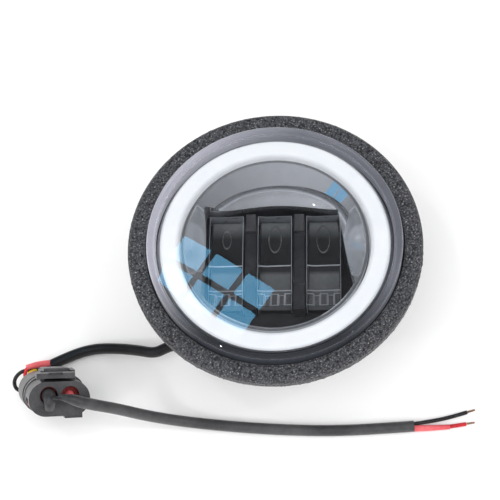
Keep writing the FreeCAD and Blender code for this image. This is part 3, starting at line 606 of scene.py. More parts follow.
# %% Mirror coat
def make_chrome(name, smooth, hazy, metallic):
    """A mirror on plastic, from smooth to hazy in soft clouds, with a little dust."""
    material, tree, shader = new_finish(name)
    where = place_on_piece(tree)
    haze = place_group(tree, GRAIN, 260, where)["Mask"]
    dust = place_group(tree, DUST, 700, where)["Mask"]
    colour = mix_colours(tree, haze, (0.70, 0.72, 0.75, 1), (0.80, 0.82, 0.85, 1))
    rough = maths(tree, "MAXIMUM", ranged(tree, haze, 0, 1, smooth, hazy),
                  maths(tree, "MULTIPLY", dust, 0.35))
    fill(tree, shader, Base_Color=colour, Roughness=rough, Metallic=metallic)
    return material


finishes["reflector_chrome"] = make_chrome("vacuum mirror coat", 0.03, 0.09, 0.92)
pocket_finish = make_chrome("satin mirror coat", 0.06, 0.14, 0.72)
print("mirrors", finishes["reflector_chrome"].name, "and", pocket_finish.name)


# %% Clear and frosted plastic
def make_clear(name, tint, ior, dust_share):
    """Polished clear plastic that lets the lamps' rays through."""
    material, tree, shader = new_finish(name)
    dust = place_group(tree, DUST, 620, place_on_piece(tree))["Mask"]
    film = maths(tree, "MULTIPLY", dust, dust_share)
    fill(tree, shader, Base_Color=mix_colours(tree, film, (*tint, 1), (0.6, 0.6, 0.6, 1)),
         Roughness=film, Transmission_Weight=1.0, IOR=ior)
    path = tree.nodes.new("ShaderNodeLightPath")
    through = tree.nodes.new("ShaderNodeBsdfTransparent")
    end_in(tree, path.outputs["Is Shadow Ray"], shader.outputs[0], through.outputs[0],
           "Material Output")
    return material


def make_painted_edge_light(name):
    """Pale grey, half clear, rough plastic: a painted highlight for edges that carry the ring's light.
    """
    material, tree, shader = new_finish(name)
    grain = place_group(tree, GRAIN, 600, place_on_piece(tree))["Mask"]
    fill(tree, shader, Base_Color=mix_colours(tree, grain, (0.32, 0.34, 0.38, 1), (0.52, 0.54, 0.58, 1)),
         Roughness=ranged(tree, grain, 0, 1, 0.25, 0.45), Transmission_Weight=0.45)
    return material


finishes["clear_optic"] = make_clear("polished acrylic", (0.96, 0.98, 1.0), 1.49, 0.05)
finishes["clear_lens"] = make_clear("hard coated polycarbonate", (0.98, 0.99, 1.0), 1.52, 0.12)
edge_highlight_finish = make_painted_edge_light("pale edge, painted highlight")
print("clear plastics", finishes["clear_optic"].name, "and", finishes["clear_lens"].name)

# %% The glowing ring
GLOW_INNER = (0.0370, 0.0387)
GLOW_OUTER = (0.0447, 0.0434)
GLOW_EDGE = 0.46
GLOW_MIDDLE = 0.84


def radius_of(tree, where):
    """The distance from the lamp's axis."""
    apart = add(tree, "ShaderNodeSeparateXYZ", Vector=where)
    squares = maths(tree, "ADD", maths(tree, "POWER", apart.outputs["X"], 2.0),
                    maths(tree, "POWER", apart.outputs["Y"], 2.0))
    return maths(tree, "POWER", squares, 0.5)


def make_opal(name):
    """The ring's opal plastic: lit from within, and dimmer towards its two edges."""
    material, tree, shader = new_finish(name)
    where = place_on_piece(tree)
    cloud = place_group(tree, GRAIN, 200, where)["Mask"]
    radius = radius_of(tree, where)
    lit = maths(tree, "MULTIPLY", ranged(tree, radius, *GLOW_INNER), ranged(tree, radius, *GLOW_OUTER))
    glow = maths(tree, "MULTIPLY", ranged(tree, lit, 0, 1, GLOW_EDGE, GLOW_MIDDLE),
                 ranged(tree, cloud, 0, 1, 0.96, 1.04))
    fill(tree, shader, Emission_Strength=glow, Roughness=ranged(tree, cloud, 0, 1, 0.4, 0.55),
         Base_Color=mix_colours(tree, cloud, (0.20, 0.21, 0.23, 1), (0.24, 0.25, 0.26, 1)),
         Emission_Color=mix_colours(tree, cloud, (0.93, 0.96, 1.0, 1), (0.97, 0.98, 1.0, 1)))
    return material


finishes["halo_white"] = make_opal("lit opal guide")
print("ring glows from", GLOW_EDGE, "at its edges to", GLOW_MIDDLE, "in its middle")


# %% The lens's skirt with painted light, and the emitters
def make_painted_light_skirt(name):
    """The lens's skirt with painted light: a glow, dark on the near side, paler at the far side and both
    flanks and palest on the left, for the ring's light seen in it.
    """
    material, tree, shader = new_finish(name)
    where = place_on_piece(tree)
    grain = place_group(tree, GRAIN, 300, where)["Mask"]
    apart = add(tree, "ShaderNodeSeparateXYZ", Vector=where)
    # Painted light: dark on the near side, lighter towards the far side and lighter still towards the
    # left, and glowing all over.
    far = ranged(tree, apart.outputs["Y"], -0.040, -0.012)
    left = ranged(tree, apart.outputs["X"], 0.010, -0.046)
    tone = mix_colours(tree, left, (0.17, 0.175, 0.20, 1), (0.40, 0.40, 0.44, 1))
    colour = mix_colours(tree, far, (0.03, 0.033, 0.04, 1), tone)
    fill(tree, shader, Base_Color=colour, Emission_Color=colour,
         Emission_Strength=ranged(tree, grain, 0, 1, 0.62, 0.78),
         Roughness=ranged(tree, grain, 0, 1, 0.15, 0.25))
    return material


def make_phosphor(name):
    """The emitters' yellowish phosphor, faintly lit."""
    material, tree, shader = new_finish(name)
    cloud = place_group(tree, GRAIN, 900, place_on_piece(tree))["Mask"]
    fill(tree, shader, Base_Color=mix_colours(tree, cloud, (0.9, 0.85, 0.5, 1), (1, 1, 1, 1)),
         Emission_Color=mix_colours(tree, cloud, (0.95, 0.9, 0.7, 1), (1, 1, 1, 1)),
         Roughness=ranged(tree, cloud, 0, 1, 0.3, 0.45), Emission_Strength=0.25)
    return material


finishes["led_white"] = make_phosphor("phosphor")
painted_light_skirt_finish = make_painted_light_skirt("lens skirt with painted light")
# A paler copy of the red: its pale tone is a painted highlight, the sheen on the red wires' bends.
pale_red_sheen_finish = make_finish("pale red silicone, painted sheen", (0.62, 0.06, 0.075), (0.86, 0.17, 0.19), (0.35, 0.5),
                          Subsurface_Weight=0.05)
oval_finish = make_finish("collimator mouth", (0.10, 0.105, 0.11), (0.18, 0.185, 0.19), (0.2, 0.3))
board_finish = make_finish("white solder mask", (0.45, 0.46, 0.48), (0.62, 0.63, 0.65), (0.3, 0.45))
print("all finishes", len(finishes))

# %% [markdown]
# ## Finishes on the CAD pieces
# The record names a material slot for each CAD node. Each node keeps its mesh and place, and only
# gets the better finish in its own material slots.

# %% Dress the CAD nodes
for subpart in frame["record"]["subparts"]:
    node = nodes[subpart["node"]]
    for material_slot in node.material_slots:
        material_slot.material = finishes[subpart["material_slot"]]
nodes["halo_led_board"].material_slots[0].material = board_finish
for cord, cord_slot in ((lead, "cable_black"), (pigtail, "cable_grey")):
    cord.data.materials.append(finishes[cord_slot])
for wire_name, wire in wires.items():
    wire.data.materials.append(finishes["wire_" + wire_name.split("_")[-1]])


# %% How a new piece joins the model
def paint(piece, material, wanted):
    """Give the picked faces a finish of their own."""
    piece.data.materials.append(material)
    only(piece)
    bpy.ops.object.mode_set(mode="EDIT")
    pick_faces(piece, wanted)
    piece.active_material_index = len(piece.data.materials) - 1
    bpy.ops.object.material_slot_assign()
    bpy.ops.object.mode_set(mode="OBJECT")


def fit(piece, body, slot, material=None, replaced=()):
    """Ride on the body, take a finish if it has none (the given one, else the slot's), and hide the CAD
    nodes it replaces.
    """
    if not piece.data.materials:
        piece.data.materials.append(material or finishes[slot])
    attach(piece, body)
    if replaced:
        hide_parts(*replaced)
    print("%-22s %6d faces" % (piece.name, len(piece.data.polygons)))
    return piece


# %% [markdown]
# ## The rough rim
# The rim is sand-cast and thickly coated, so even its outline is ragged. Bump alone would leave a
# perfect circle, so a skin over the rim is turned with rings under half a millimetre apart and
# displaced by two clouds of noise, one broad and one fine.

# %% Rim skin
RIM_RADIUS = 57.1
RIM_TOP = 56.6
RIM_FOOT = 51.4
GROOVE_RADIUS = 50.1
GROOVE_FLOOR = 54.6
RING_STEP = 0.45
rim_outline = fine([
    (GROOVE_RADIUS, GROOVE_FLOOR), (GROOVE_RADIUS, RIM_TOP - 0.6), (GROOVE_RADIUS + 0.6, RIM_TOP),
    (RIM_RADIUS - 1.3, RIM_TOP), (RIM_RADIUS - 0.3, RIM_TOP - 0.6), (RIM_RADIUS, RIM_TOP - 1.4),
    (RIM_RADIUS, RIM_FOOT + 0.9), (RIM_RADIUS - 0.9, RIM_FOOT), (54.0, RIM_FOOT),
], RING_STEP) + [(53.5, 52.5), (51.5, GROOVE_FLOOR)]
rim = lathe("rim_skin", rim_outline, segments=780)
settle(rim, angle=60)
for cloud_name, cloud_size, depth in (("broad", 0.0022, 0.55), ("fine", 0.0009, 0.45)):
    cloud = bpy.data.textures.new("rim " + cloud_name, "CLOUDS")
    cloud.noise_scale = cloud_size
    apply_modifier(rim, cloud_name, "DISPLACE", texture=cloud, texture_coords="LOCAL",
                   strength=depth * MM, mid_level=0.5)
fit(rim, "lamp", "cast_black", rim_finish)

# %% [markdown]
# ## The lens
# The lens is a deep cap: a gentle crown, a rounded shoulder and a straight skirt that drops into
# the rim. Turning it from one outline, inside and outside together, gives the wall its thickness
# and the bright lines that a clear wall has at its edges. Below the groove's top the skirt draws in
# a little, as a moulded part does, so that it doesn't share its face with the sealant around it.

# %% Lens
LENS_RADIUS = 49.4
LENS_WALL = 2.6
LENS_EDGE = 60.8
LENS_CROWN = 63.2
LENS_FOOT = 51.35
SHOULDER = 1.5
DRAFT = 0.12
GROOVE_TOP = 56.8


def dome(edge_radius, edge_height, crown, steps):
    """Rings of a shallow dome from near its middle to its edge."""
    radii = [1.5 + (edge_radius - 1.5) * step / steps for step in range(steps + 1)]
    return [(r, crown - (crown - edge_height) * (r / edge_radius) ** 2) for r in radii]


inner_edge = LENS_RADIUS - LENS_WALL
inside = dome(inner_edge - SHOULDER, LENS_EDGE - LENS_WALL, LENS_CROWN - LENS_WALL, 12)
inside += arc((inner_edge - SHOULDER, LENS_EDGE - LENS_WALL - SHOULDER), SHOULDER, 75, 0, 5)
outside = dome(LENS_RADIUS - SHOULDER, LENS_EDGE, LENS_CROWN, 12)
outside += arc((LENS_RADIUS - SHOULDER, LENS_EDGE - SHOULDER), SHOULDER, 75, 0, 5)
lens = lathe("lens_cover", inside + [(inner_edge, LENS_FOOT), (LENS_RADIUS - DRAFT, LENS_FOOT),
                                     (LENS_RADIUS - DRAFT, GROOVE_TOP)] + outside[::-1],
             segments=192, poles=True)
settle(lens)
fit(lens, "lamp", "clear_lens", replaced=["lens"])
# The skirt and the foot take the painted light: a glow for the ring's light seen in the lens wall.
paint(lens, painted_light_skirt_finish, lambda c, n: abs(n.z) < 0.5 or c.z < LENS_FOOT + 0.1)

# %% [markdown]
# ## The glowing ring
# An opal ring with rounded edges sits in its tray behind the lens. It is the brightest thing on
# the lamp, so its section matters less than its soft edge: the corners are well rounded.

# %% Ring
HALO_INNER = 37.2
HALO_OUTER = 44.6
HALO_TOP = 56.0
HALO_FOOT = 52.4
CORNER = 1.2
ring_outline = [(HALO_INNER, HALO_FOOT), (HALO_OUTER, HALO_FOOT)]
ring_outline += arc((HALO_OUTER - CORNER, HALO_TOP - CORNER), CORNER, 0, 90, 6)
ring_outline += arc((HALO_INNER + CORNER, HALO_TOP - CORNER), CORNER, 90, 180, 6)
halo = lathe("halo_ring", ring_outline, segments=192)
settle(halo)
fit(halo, "lamp", "halo_white", replaced=["halo_light_guide"])

# %% [markdown]
# ## The reflector
# Inside the ring lies one bright moulding: a shallow dish, a deeper visor above the blocks, a
# round pocket at each side, and a straight-sided well that the optic blocks stand in. The dish is
# turned on the lathe, and the rest is cut from it with boolean modifiers, as a mould maker mills
# it. Booleans leave crisp creases where the surfaces meet, which is what the real one shows.


# %% Cutters for the reflector
def ball(name, centre, radii):
    """A smooth ball, stretched to its three radii, in mm."""
    clear_selection()
    bpy.ops.mesh.primitive_uv_sphere_add(segments=96, ring_count=64, radius=MM,
                                         location=[x * MM for x in centre], scale=radii)
    return named(name)


def prism(name, outline, low, high):
    """A flat outline in mm, counter-clockwise, raised from low to high."""
    clear_selection()
    bpy.ops.mesh.primitive_circle_add(vertices=len(outline), radius=MM, fill_type="NGON")
    piece = bpy.context.object
    piece.name = name
    for vertex, (x, y) in zip(piece.data.vertices, outline):
        vertex.co = (x * MM, y * MM, low * MM)
    bpy.ops.object.mode_set(mode="EDIT")
    bpy.ops.mesh.select_all(action="SELECT")
    bpy.ops.mesh.extrude_region_move(TRANSFORM_OT_translate={"value": (0, 0, (high - low) * MM)})
    bpy.ops.mesh.select_all(action="SELECT")
    bpy.ops.mesh.normals_make_consistent(inside=False)
    bpy.ops.object.mode_set(mode="OBJECT")
    return piece


def cut_away(piece, cutter, operation="DIFFERENCE"):
    """Remove the cutter's space from the piece, or all but that space, then the cutter."""
    apply_modifier(piece, "cut", "BOOLEAN", operation=operation, solver="EXACT", object=cutter)
    bpy.data.objects.remove(cutter)


# %% Turn the dish and mill it
DISH_EDGE = (35.3, 54.6)
DISH_MIDDLE = 43.0
WELL_FLOOR = 34.2
WELL_LEFT = -28.0
BORE = 34.8
WELL_RIGHT = 24.6
WELL_TOP_LEFT = -22.4
WELL_TOP = 17.3
WELL_BOW = 4.2
VISOR = ((1.0, 5.0, 52.5), (30.0, 23.0, 12.0))
POCKETS = {
    "left": ((-36.5, 3.0, 52.5), (13.0, 15.5, 13.0)),
    "right": ((37.0, 1.0, 52.5), (13.0, 16.0, 13.0)),
}
POCKET_REACH = (13.2, 16.2, 13.2)
well_top = [(WELL_RIGHT + (WELL_TOP_LEFT - WELL_RIGHT) * step / 12,
             WELL_TOP + WELL_BOW * math.sin(math.pi * step / 12)) for step in range(13)]
well_outline = well_top + [(WELL_LEFT, WELL_TOP)] + arc((0, 0), BORE, 216.4, 332, 18)


def pocket(name, centre, radii):
    """A ball cutter that keeps inside the dish's upright wall."""
    cutter = ball(name, centre, radii)
    bore = lathe("bore", [(1, 30), (BORE, 30), (BORE, 60), (1, 60)], segments=192, poles=True)
    settle(bore)
    cut_away(cutter, bore, "INTERSECT")
    return cutter


dish = [(1.0, DISH_MIDDLE)]
for step in range(1, 25):
    dish_radius = DISH_EDGE[0] * step / 24
    dish.append((dish_radius, DISH_MIDDLE + (DISH_EDGE[1] - DISH_MIDDLE) * (step / 24) ** 2))
dish += [(36.3, 54.7), (36.4, 48.5), (40.5, 48.4), (40.5, 47.4), (38.8, 42.0), (33.6, 32.5), (1.0, 32.5)]
reflector = lathe("reflector_mirror", dish, segments=256, poles=True)
settle(reflector)
cut_away(reflector, ball("visor cutter", *VISOR))
for side, (centre, radii) in POCKETS.items():
    cut_away(reflector, pocket(side + " pocket cutter", centre, radii))
cut_away(reflector, prism("well cutter", well_outline, WELL_FLOOR, 60))
settle(reflector, angle=25)
fit(reflector, "lamp", "reflector_chrome", replaced=["reflector"])
for centre, radii in POCKETS.values():
    paint(reflector, pocket_finish, lambda c, n: n.z < 0.98 and WELL_FLOOR + 1 < c.z
          and sum(((a - b) / r) ** 2 for a, b, r in zip(c, centre, POCKET_REACH)) < 1)

# %% [markdown]
# ## The well's lining
# A black mask lines the well, so that only the blocks shine in it. It is the same outline a little
# smaller, raised, inset and pushed down in the middle.

# %% Lining
LINING_WALL = 0.6
LINING_TOP = 42.0
LINING_SCALE = 0.992
lining = prism("well_lining", [(x * LINING_SCALE, y * LINING_SCALE) for x, y in well_outline],
               WELL_FLOOR + 0.1, LINING_TOP)
only(lining)
bpy.ops.object.mode_set(mode="EDIT")
pick_faces(lining, lambda centre, normal: normal.z > 0.9)
bpy.ops.mesh.inset(thickness=LINING_WALL * MM)
bpy.ops.transform.translate(value=(0, 0, (WELL_FLOOR + LINING_WALL - LINING_TOP) * MM))
settle(lining)
soften(lining, 0.15, 2)
fit(lining, "lamp", "black_plastic")

# %% [markdown]
# ## The optic blocks
# Each block is clear acrylic: a tall upper window, a seam, a lighter lower window and a fluted foot,
# with a fine groove down its left side. It starts as a box, is sliced where the features change, and
# each stretch of its front is then moved to its own height before the edges are eased. The eased edges
# and the flutes' sides take a painted highlight and the top end a grey of painted light; the lower
# window looks lighter because the plate behind it is painted pale.

# %% Where the blocks stand
OPTIC_MIDDLE = -0.4
OPTIC_PITCH = 19.2
OPTIC_WIDE = 13.5
OPTIC_TOP_END = 16.15
OPTIC_FOOT_END = -21.35
OPTIC_FRONT = 46.0
OPTIC_BASE = 34.9
SEAM_AT = -5.6
FOOT_AT = -15.3
optic_places = {
    "left": OPTIC_MIDDLE - OPTIC_PITCH,
    "centre": OPTIC_MIDDLE,
    "right": OPTIC_MIDDLE + OPTIC_PITCH,
}


# %% Model one block
GROOVE_IN = 3.2
GROOVE_WIDE = 0.5
SEAM_WIDE = 0.7
SEAM_DROP = 0.7
STEP_DROP = 2.4
LOWER_DROP = 0.5
GROOVE_DROP = 0.6
FOOT_DROP = 2.0
FLUTES = 5
FLUTE_DROP = 1.2
FLUTE_BORDER = 0.25


def pushed(piece, drop, wanted, inset=0.0):
    """Push the picked faces down by so many mm, inside a narrow border if inset."""
    pick_faces(piece, wanted)
    if inset:
        bpy.ops.mesh.inset(thickness=inset * MM)
    bpy.ops.transform.translate(value=(0, 0, -drop * MM))


def make_block(side, x):
    """One clear block at x, from its slices to its eased edges."""
    start = x - OPTIC_WIDE / 2
    piece = block("optic_block_" + side, (start, OPTIC_FOOT_END, OPTIC_BASE),
                  (start + OPTIC_WIDE, OPTIC_TOP_END, OPTIC_FRONT))
    piece.data.materials.append(finishes["clear_optic"])
    # The second finish is the pale edge one, a painted highlight.
    piece.data.materials.append(edge_highlight_finish)
    bpy.ops.object.mode_set(mode="EDIT")
    for middle in (SEAM_AT, FOOT_AT):
        slice_at(piece, (x, middle + SEAM_WIDE / 2, 40), (0, 1, 0))
        slice_at(piece, (x, middle - SEAM_WIDE / 2, 40), (0, 1, 0))
    for across in (GROOVE_IN, GROOVE_IN + GROOVE_WIDE):
        slice_at(piece, (start + across, 0, 0), (1, 0, 0))
    pushed(piece, SEAM_DROP, lambda c, n: n.z > 0.9 and abs(c.y - SEAM_AT) < SEAM_WIDE / 2)
    pushed(piece, STEP_DROP, lambda c, n: n.z > 0.9 and abs(c.y - FOOT_AT) < SEAM_WIDE / 2)
    pushed(piece, LOWER_DROP, lambda c, n: n.z > 0.9 and FOOT_AT + 1 < c.y < SEAM_AT - 1)
    pushed(piece, GROOVE_DROP, lambda c, n: n.z > 0.9
           and abs(c.x - start - GROOVE_IN - GROOVE_WIDE / 2) < 0.2)
    pushed(piece, FOOT_DROP, lambda c, n: n.z > 0.9 and c.y < FOOT_AT - 1)
    for flute in range(1, FLUTES):
        slice_at(piece, (start + OPTIC_WIDE * flute / FLUTES, 0, 0), (1, 0, 0))
    pushed(piece, FLUTE_DROP, lambda c, n: n.z > 0.9 and c.y < FOOT_AT - 1
           and int((c.x - start) / OPTIC_WIDE * FLUTES) % 2, inset=FLUTE_BORDER)
    settle(piece)
    # The eased edges take the pale edge finish: a painted highlight along the block's edges.
    soften(piece, 0.28, 2, material=1)
    fit(piece, "lamp", "clear_optic", replaced=["optic_" + side])
    # The foot's flute sides take it as well, painted highlights on the prongs.
    paint(piece, edge_highlight_finish, lambda c, n: c.y < FOOT_AT - 1 and c.z > OPTIC_FRONT - 4
          and abs(n.x) > 0.5)
    # The top end takes a satin grey: painted light on the block's upper end.
    paint(piece, finishes["smoke_plastic"], lambda c, n: n.y > 0.9 and c.y > OPTIC_TOP_END - 0.5)


for side, x in optic_places.items():
    make_block(side, x)

# %% [markdown]
# ## Collimators behind the blocks
# Behind each block sits a plate painted with light and shade: black in the middle as painted shade, pale
# at its ends as painted light. On it lies the oval mouth of the LED's collimator, which reads as a thin
# bright oval. The oval is a torus stretched in edit mode.

# %% The plate's painted light and shade
PLATE_PAINTED_SHADE = (0.006, 0.006, 0.007, 1)
PAINTED_LIGHT_ABOVE = (0.0085, 0.0135)
PAINTED_LIGHT_BELOW = (-0.0045, -0.0065)


def make_painted_light_plate(name):
    """Painted shade, black, in the middle, and painted light, pale grey, towards both ends."""
    material, tree, shader = new_finish(name)
    where = place_on_piece(tree)
    along = add(tree, "ShaderNodeSeparateXYZ", Vector=where).outputs["Y"]
    grain = place_group(tree, GRAIN, 500, where)["Mask"]
    # Painted light towards both ends; the middle stays black as painted shade.
    pale = maths(tree, "MAXIMUM", ranged(tree, along, *PAINTED_LIGHT_ABOVE), ranged(tree, along, *PAINTED_LIGHT_BELOW))
    tone = mix_colours(tree, grain, (0.09, 0.095, 0.1, 1), (0.17, 0.175, 0.18, 1))
    fill(tree, shader, Base_Color=mix_colours(tree, pale, PLATE_PAINTED_SHADE, tone),
         Roughness=ranged(tree, grain, 0, 1, 0.35, 0.5))
    return material


painted_light_plate_finish = make_painted_light_plate("collimator plate, painted light and shade")
print("plates are pale from y", PAINTED_LIGHT_ABOVE[0], "up and from", PAINTED_LIGHT_BELOW[0], "down")

# %% Plates and ovals
PLATE_HALF_WIDE = 6.2
PLATE_SHORTER = 0.6
PLATE_LOW = 37.6
PLATE_HIGH = 38.4
OVAL_MIDDLE = 8.2
OVAL_HEIGHT = 38.6
OVAL_RADIUS = {"left": 1.7, "centre": 2.5, "right": 2.6}
OVAL_THICK = 0.2
OVAL_STRETCH = (1, 2.2, 1.6)
for side, x in optic_places.items():
    plate = block("painted_light_plate_" + side,
                  (x - PLATE_HALF_WIDE, OPTIC_FOOT_END + PLATE_SHORTER, PLATE_LOW),
                  (x + PLATE_HALF_WIDE, OPTIC_TOP_END - PLATE_SHORTER, PLATE_HIGH))
    bpy.ops.object.mode_set(mode="EDIT")
    pushed(plate, 0.3, lambda c, n: n.z > 0.9, inset=0.5)
    settle(plate)
    fit(plate, "lamp", "black_plastic", painted_light_plate_finish)
    clear_selection()
    bpy.ops.mesh.primitive_torus_add(major_segments=64, minor_segments=10,
                                     major_radius=OVAL_RADIUS[side] * MM,
                                     minor_radius=OVAL_THICK * MM,
                                     location=(x * MM, OVAL_MIDDLE * MM, OVAL_HEIGHT * MM))
    oval = bpy.context.object
    oval.name = "collimator_mouth_" + side
    bpy.ops.object.mode_set(mode="EDIT")
    bpy.ops.transform.resize(value=OVAL_STRETCH)
    settle(oval)
    fit(oval, "lamp", "led_white", oval_finish)

# %% [markdown]
# ## The ribs between the blocks
# Two dark ribs fill the gaps. Their upper end slopes up towards the visor, and its top is painted a
# lighter grey, painted light where it catches the light. A shallow saddle crosses them at the seam.

# %% Ribs
RIB_WIDE = 4.5
RIB_FOOT_END = -22.8
RIB_TOP_END = 17.6
RIB_HIGH = 43.0
SLOPE_AT = 9.6
SADDLE_TOP = SEAM_AT + 0.6
SADDLE_FOOT = SEAM_AT - 6.5
SLOPE_RISE = 2.2
SADDLE_RISE = 1.0
for side, x in (("left", OPTIC_MIDDLE - OPTIC_PITCH / 2), ("right", OPTIC_MIDDLE + OPTIC_PITCH / 2)):
    rib = block("dark_rib_" + side, (x - RIB_WIDE / 2, RIB_FOOT_END, WELL_FLOOR + 0.7),
                (x + RIB_WIDE / 2, RIB_TOP_END, RIB_HIGH))
    bpy.ops.object.mode_set(mode="EDIT")
    for along in (SLOPE_AT, SADDLE_TOP, SADDLE_FOOT):
        slice_at(rib, (x, along, 40), (0, 1, 0))
    pushed(rib, -SLOPE_RISE, lambda c, n: n.z > 0.9 and c.y > SLOPE_AT, inset=0.2)
    pushed(rib, -SADDLE_RISE, lambda c, n: n.z > 0.9 and SADDLE_FOOT < c.y < SADDLE_TOP, inset=0.2)
    settle(rib)
    soften(rib, 0.35, 3)
    fit(rib, "lamp", "black_plastic", replaced=["optic_ribs"])
    # The sloped top takes a lighter grey: painted light.
    paint(rib, finishes["connector_grey"], lambda c, n: n.z > 0.9 and c.y > SLOPE_AT + 0.4)

# %% [markdown]
# ## Bare strands
# Each tail wire ends in a few millimetres of twisted copper. A handful of thin helices, wound
# along the wire's own direction, is cheap and looks like wire and not like a rod.

# %% Strands
STRAND_COUNT = 6
STRAND_STEPS = 5
STRIPPED = 0.0035
STRAND_DIAMETER = 0.00026
BUNDLE_RADIUS = 0.00029
TWIST = 0.5


def twisted_end(name, start, end):
    """A bundle of fine strands that runs on from the last two points of a wire."""
    piece = new_cord(name, steps=6, roundness=3)
    along = (Vector(end) - Vector(start)).normalized()
    side = along.cross(Vector((0, 0, 1))).normalized()
    over = side.cross(along)
    for strand in range(STRAND_COUNT):
        route = []
        for step in range(STRAND_STEPS + 1):
            angle = math.tau * strand / STRAND_COUNT + step * TWIST
            out = (side * math.cos(angle) + over * math.sin(angle)) * BUNDLE_RADIUS
            route.append(Vector(end) + along * STRIPPED * step / STRAND_STEPS + out)
        add_line(piece, route, STRAND_DIAMETER)
    piece.data.materials.append(finishes["tinned_copper"])
    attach(piece, "plug")
    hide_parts("tail_bare_ends")
    return piece


strands = [twisted_end("bare_strands_" + colour, *WIRE_ROUTES["tail_wire_" + colour][-2:])
           for colour in ("red", "black")]
print("strands", [piece.name for piece in strands])

# %% [markdown]
# ## Boots and sleeves
# Where a wire leaves a cavity it wears a rubber boot, and where it leaves a sheath it wears a
# short sleeve. All are the same kind of curve as the wires, with a radius that tapers. The boots
# start inside the connector, so their first points are given in the connector's own leaning frame.


# %% The connector's own frame
PAIR_ORIGIN = Vector((-0.0966, -0.0403, 0.0051))
PAIR_TURN = (Matrix.Rotation(math.radians(40), 3, "Z") @ Matrix.Rotation(math.radians(35), 3, "X")
             @ Matrix.Rotation(math.radians(-36), 3, "Z"))


def pair_point(x, y, z):
    """A place in the connector's frame, in mm, as a place in the model."""
    return tuple(PAIR_ORIGIN + PAIR_TURN @ (Vector((x, y, z)) * MM))


print("the connector's axis points along", [round(x, 3) for x in PAIR_TURN.col[2]])


# %% Boots and sleeves
CAVITY_X = 4.2
CAVITY_Y = 1.4
BOOTS = {
    "wire_boot_black": ("plug", "cable_grey", [
        pair_point(-CAVITY_X, CAVITY_Y, 29), pair_point(-CAVITY_X, CAVITY_Y, 34),
        pair_point(-4.3, 0.2, 36.6), pair_point(-4.4, -1.6, 36.4), pair_point(-4.4, -3.2, 35.5),
    ], (0.0054, 0.0054, 0.0050, 0.0044, 0.0038)),
    "wire_boot_red": ("plug", "wire_red", [
        pair_point(CAVITY_X, CAVITY_Y, 27), pair_point(CAVITY_X, CAVITY_Y, 31),
        *WIRE_ROUTES["plug_wire_red"][1:3],
    ], (0.0034, 0.0034, 0.0028, 0.0022)),
    "tail_sleeve_red": ("plug", "wire_red", WIRE_ROUTES["tail_wire_red"][:3],
                        (0.0026, 0.0024, 0.0019)),
    "sheath_taper": ("plug", "cable_grey", [
        (-0.0838, -0.0558, 0.0380), (-0.0809, -0.0560, 0.0370), (-0.0782, -0.0563, 0.0356),
        *PIGTAIL_ROUTE[:2],
    ], (0.0020, 0.0032, 0.0044, 0.0046, 0.0046)),
    "lead_sleeve_red": ("lamp", "wire_red", WIRE_ROUTES["lamp_wire_red"][:3],
                        (0.0030, 0.0028, 0.0020)),
}
boots = {"lamp": [], "plug": []}
for boot_name, (body, boot_slot, route, diameters) in BOOTS.items():
    boot = cord_curve(boot_name, body, boot_slot, route, *diameters)
    # Red boots and sleeves take the paler red, a painted highlight.
    boot.data.materials.append(pale_red_sheen_finish if boot_slot == "wire_red" else finishes[boot_slot])
    boots[body].append(boot)
print("boots and sleeves", list(BOOTS))

# %% [markdown]
# The lead and the pigtail are the two long cords. The single wires are only a thumb's width long, and
# each rides on the same body as its cable.

# %% The two cords
print("declared", lead.name, "and", pigtail.name)

# %% [markdown]
# ## Floor and light
# The floor is plain and pale. Two large soft boxes light the scene and are seen in nothing, and
# three small lamps give the polished faces their sparkle. Chrome and glass show their surroundings,
# so the sky that reflections see is a studio's: pale behind the camera and dark beyond the lamp.
# Two windows of six blue panes hang out of sight. The lens mirrors the first on its own face, and
# the second shows only to rays that have been through clear plastic, so it is seen in the mirror.

# %% Floor
clear_selection()
bpy.ops.mesh.primitive_plane_add(size=6)
floor = bpy.context.object
floor.name = "floor"
floor.data.materials.append(make_finish("pale floor", (0.94, 0.94, 0.94), (0.97, 0.97, 0.97),
                                        (0.75, 0.85), grain=40, bump=0.0, dust=0.0, scuffs=0.0))
print("floor", tuple(round(x, 1) for x in floor.dimensions))


# %% Soft boxes
def soft_box(name, place, size, power, mirrored=False):
    """An area light that points at the lamp; only a mirrored one shows in polished surfaces."""
    light = bpy.data.lights.new(name, "AREA")
    light.shape = "DISK"
    light.size = size
    light.energy = power
    lamp = bpy.data.objects.new(name, light)
    lamp.location = place
    lamp.rotation_euler = (AIM - Vector(place)).to_track_quat("-Z", "Y").to_euler()
    lamp.visible_glossy = mirrored
    lamp.visible_transmission = mirrored
    bpy.context.scene.collection.objects.link(lamp)


SMALL_LAMP = (0.03, 0.4)  # the size and the power of each
soft_box("key box", (-0.5, -0.7, 1.2), 0.9, 6)
soft_box("fill box", (0.9, -0.2, 0.8), 0.8, 3)
soft_box("small lamp", (-0.25, -0.1, 0.9), *SMALL_LAMP, mirrored=True)
soft_box("second small lamp", (0.35, -0.15, 0.8), *SMALL_LAMP, mirrored=True)
soft_box("third small lamp", (-0.45, -0.45, 0.6), *SMALL_LAMP, mirrored=True)
print("lights", [light.name for light in bpy.data.lights])


# %% Sky
SKY_STRENGTH = 0.94
SKY_DARK = (0.045, 0.048, 0.055, 1)
SKY_PALE = (0.52, 0.52, 0.55, 1)


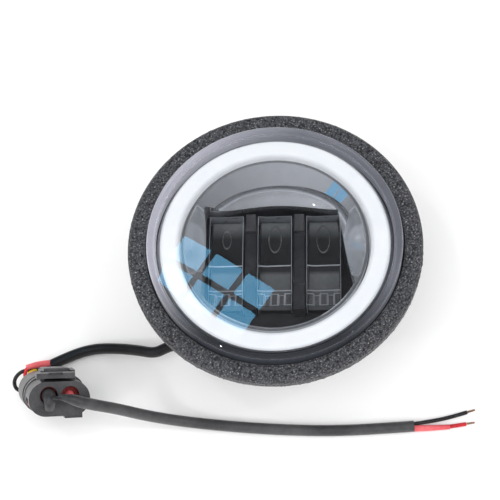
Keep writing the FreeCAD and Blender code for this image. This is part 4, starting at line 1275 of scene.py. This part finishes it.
def make_sky():
    """White for the floor, and a studio for whatever shines or is clear."""
    world = bpy.data.worlds.new("studio")
    bpy.context.scene.world = world
    world.use_nodes = True
    tree = world.node_tree
    plain = fill(tree, tree.nodes["Background"], Color=(1.0, 1.0, 1.0, 1), Strength=SKY_STRENGTH)
    toward = add(tree, "ShaderNodeSeparateXYZ",
                 Vector=add(tree, "ShaderNodeTexCoord").outputs["Generated"])
    pale = ranged(tree, toward.outputs["Y"], 0.45, -0.65)
    studio = add(tree, "ShaderNodeBackground", Color=mix_colours(tree, pale, SKY_DARK, SKY_PALE),
                 Strength=ranged(tree, toward.outputs["X"], 0.5, -0.6, 0.68, 1.15))
    path = tree.nodes.new("ShaderNodeLightPath")
    seen_in_shine = maths(tree, "MAXIMUM", path.outputs["Is Glossy Ray"],
                          path.outputs["Is Transmission Ray"])
    end_in(tree, seen_in_shine, plain.outputs[0], studio.outputs[0], "World Output")


make_sky()
print("world", bpy.context.scene.world.name)

# %% Windows
PANE_FRAME = 0.006
PANE_COLOUR = (0.16, 0.52, 0.85, 1)
WINDOW_AIM = Vector((-0.02, -0.015, 0.06))


def make_window(name, place, across, down, lean, passes_lens, strength):
    """Six blue panes that only reflections see, off the lens's face or from behind it."""
    clear_selection()
    bpy.ops.mesh.primitive_grid_add(x_subdivisions=2, y_subdivisions=3, size=1)
    window = bpy.context.object
    window.name = name
    window.scale = (across, down, 1)
    bpy.ops.object.transform_apply(location=False, rotation=False, scale=True)
    bpy.ops.object.mode_set(mode="EDIT")
    bpy.ops.mesh.select_all(action="SELECT")
    bpy.ops.mesh.inset(thickness=PANE_FRAME, use_individual=True)
    bpy.ops.mesh.select_all(action="INVERT")
    bpy.ops.mesh.delete(type="FACE")
    bpy.ops.object.mode_set(mode="OBJECT")
    facing = (Vector(place) - WINDOW_AIM).to_track_quat("Z", "Y")
    window.rotation_euler = (facing @ Quaternion((0, 0, 1), math.radians(lean))).to_euler()
    window.location = place
    material, tree, shader = new_finish(name + " light")
    path = tree.nodes.new("ShaderNodeLightPath")
    seen = maths(tree, "GREATER_THAN" if passes_lens else "LESS_THAN",
                 path.outputs["Transmission Depth"], 0.5)
    fill(tree, shader, Base_Color=(0, 0, 0, 1), Emission_Color=PANE_COLOUR,
         Emission_Strength=maths(tree, "MULTIPLY", seen, strength))
    window.data.materials.append(material)
    window.visible_camera = False
    window.visible_diffuse = False
    window.visible_shadow = False
    print(name, "panes", len(window.data.polygons))


make_window("window", (-0.150, 0.200, 0.705), 0.124, 0.224, 25, passes_lens=False, strength=9.5)
make_window("far window", (-0.470, -0.110, 0.520), 0.16, 0.50, 20, passes_lens=True, strength=0.8)

# %% [markdown]
# ## Finish
# The last cell leaves nothing selected.

# %% Finish
clear_selection()
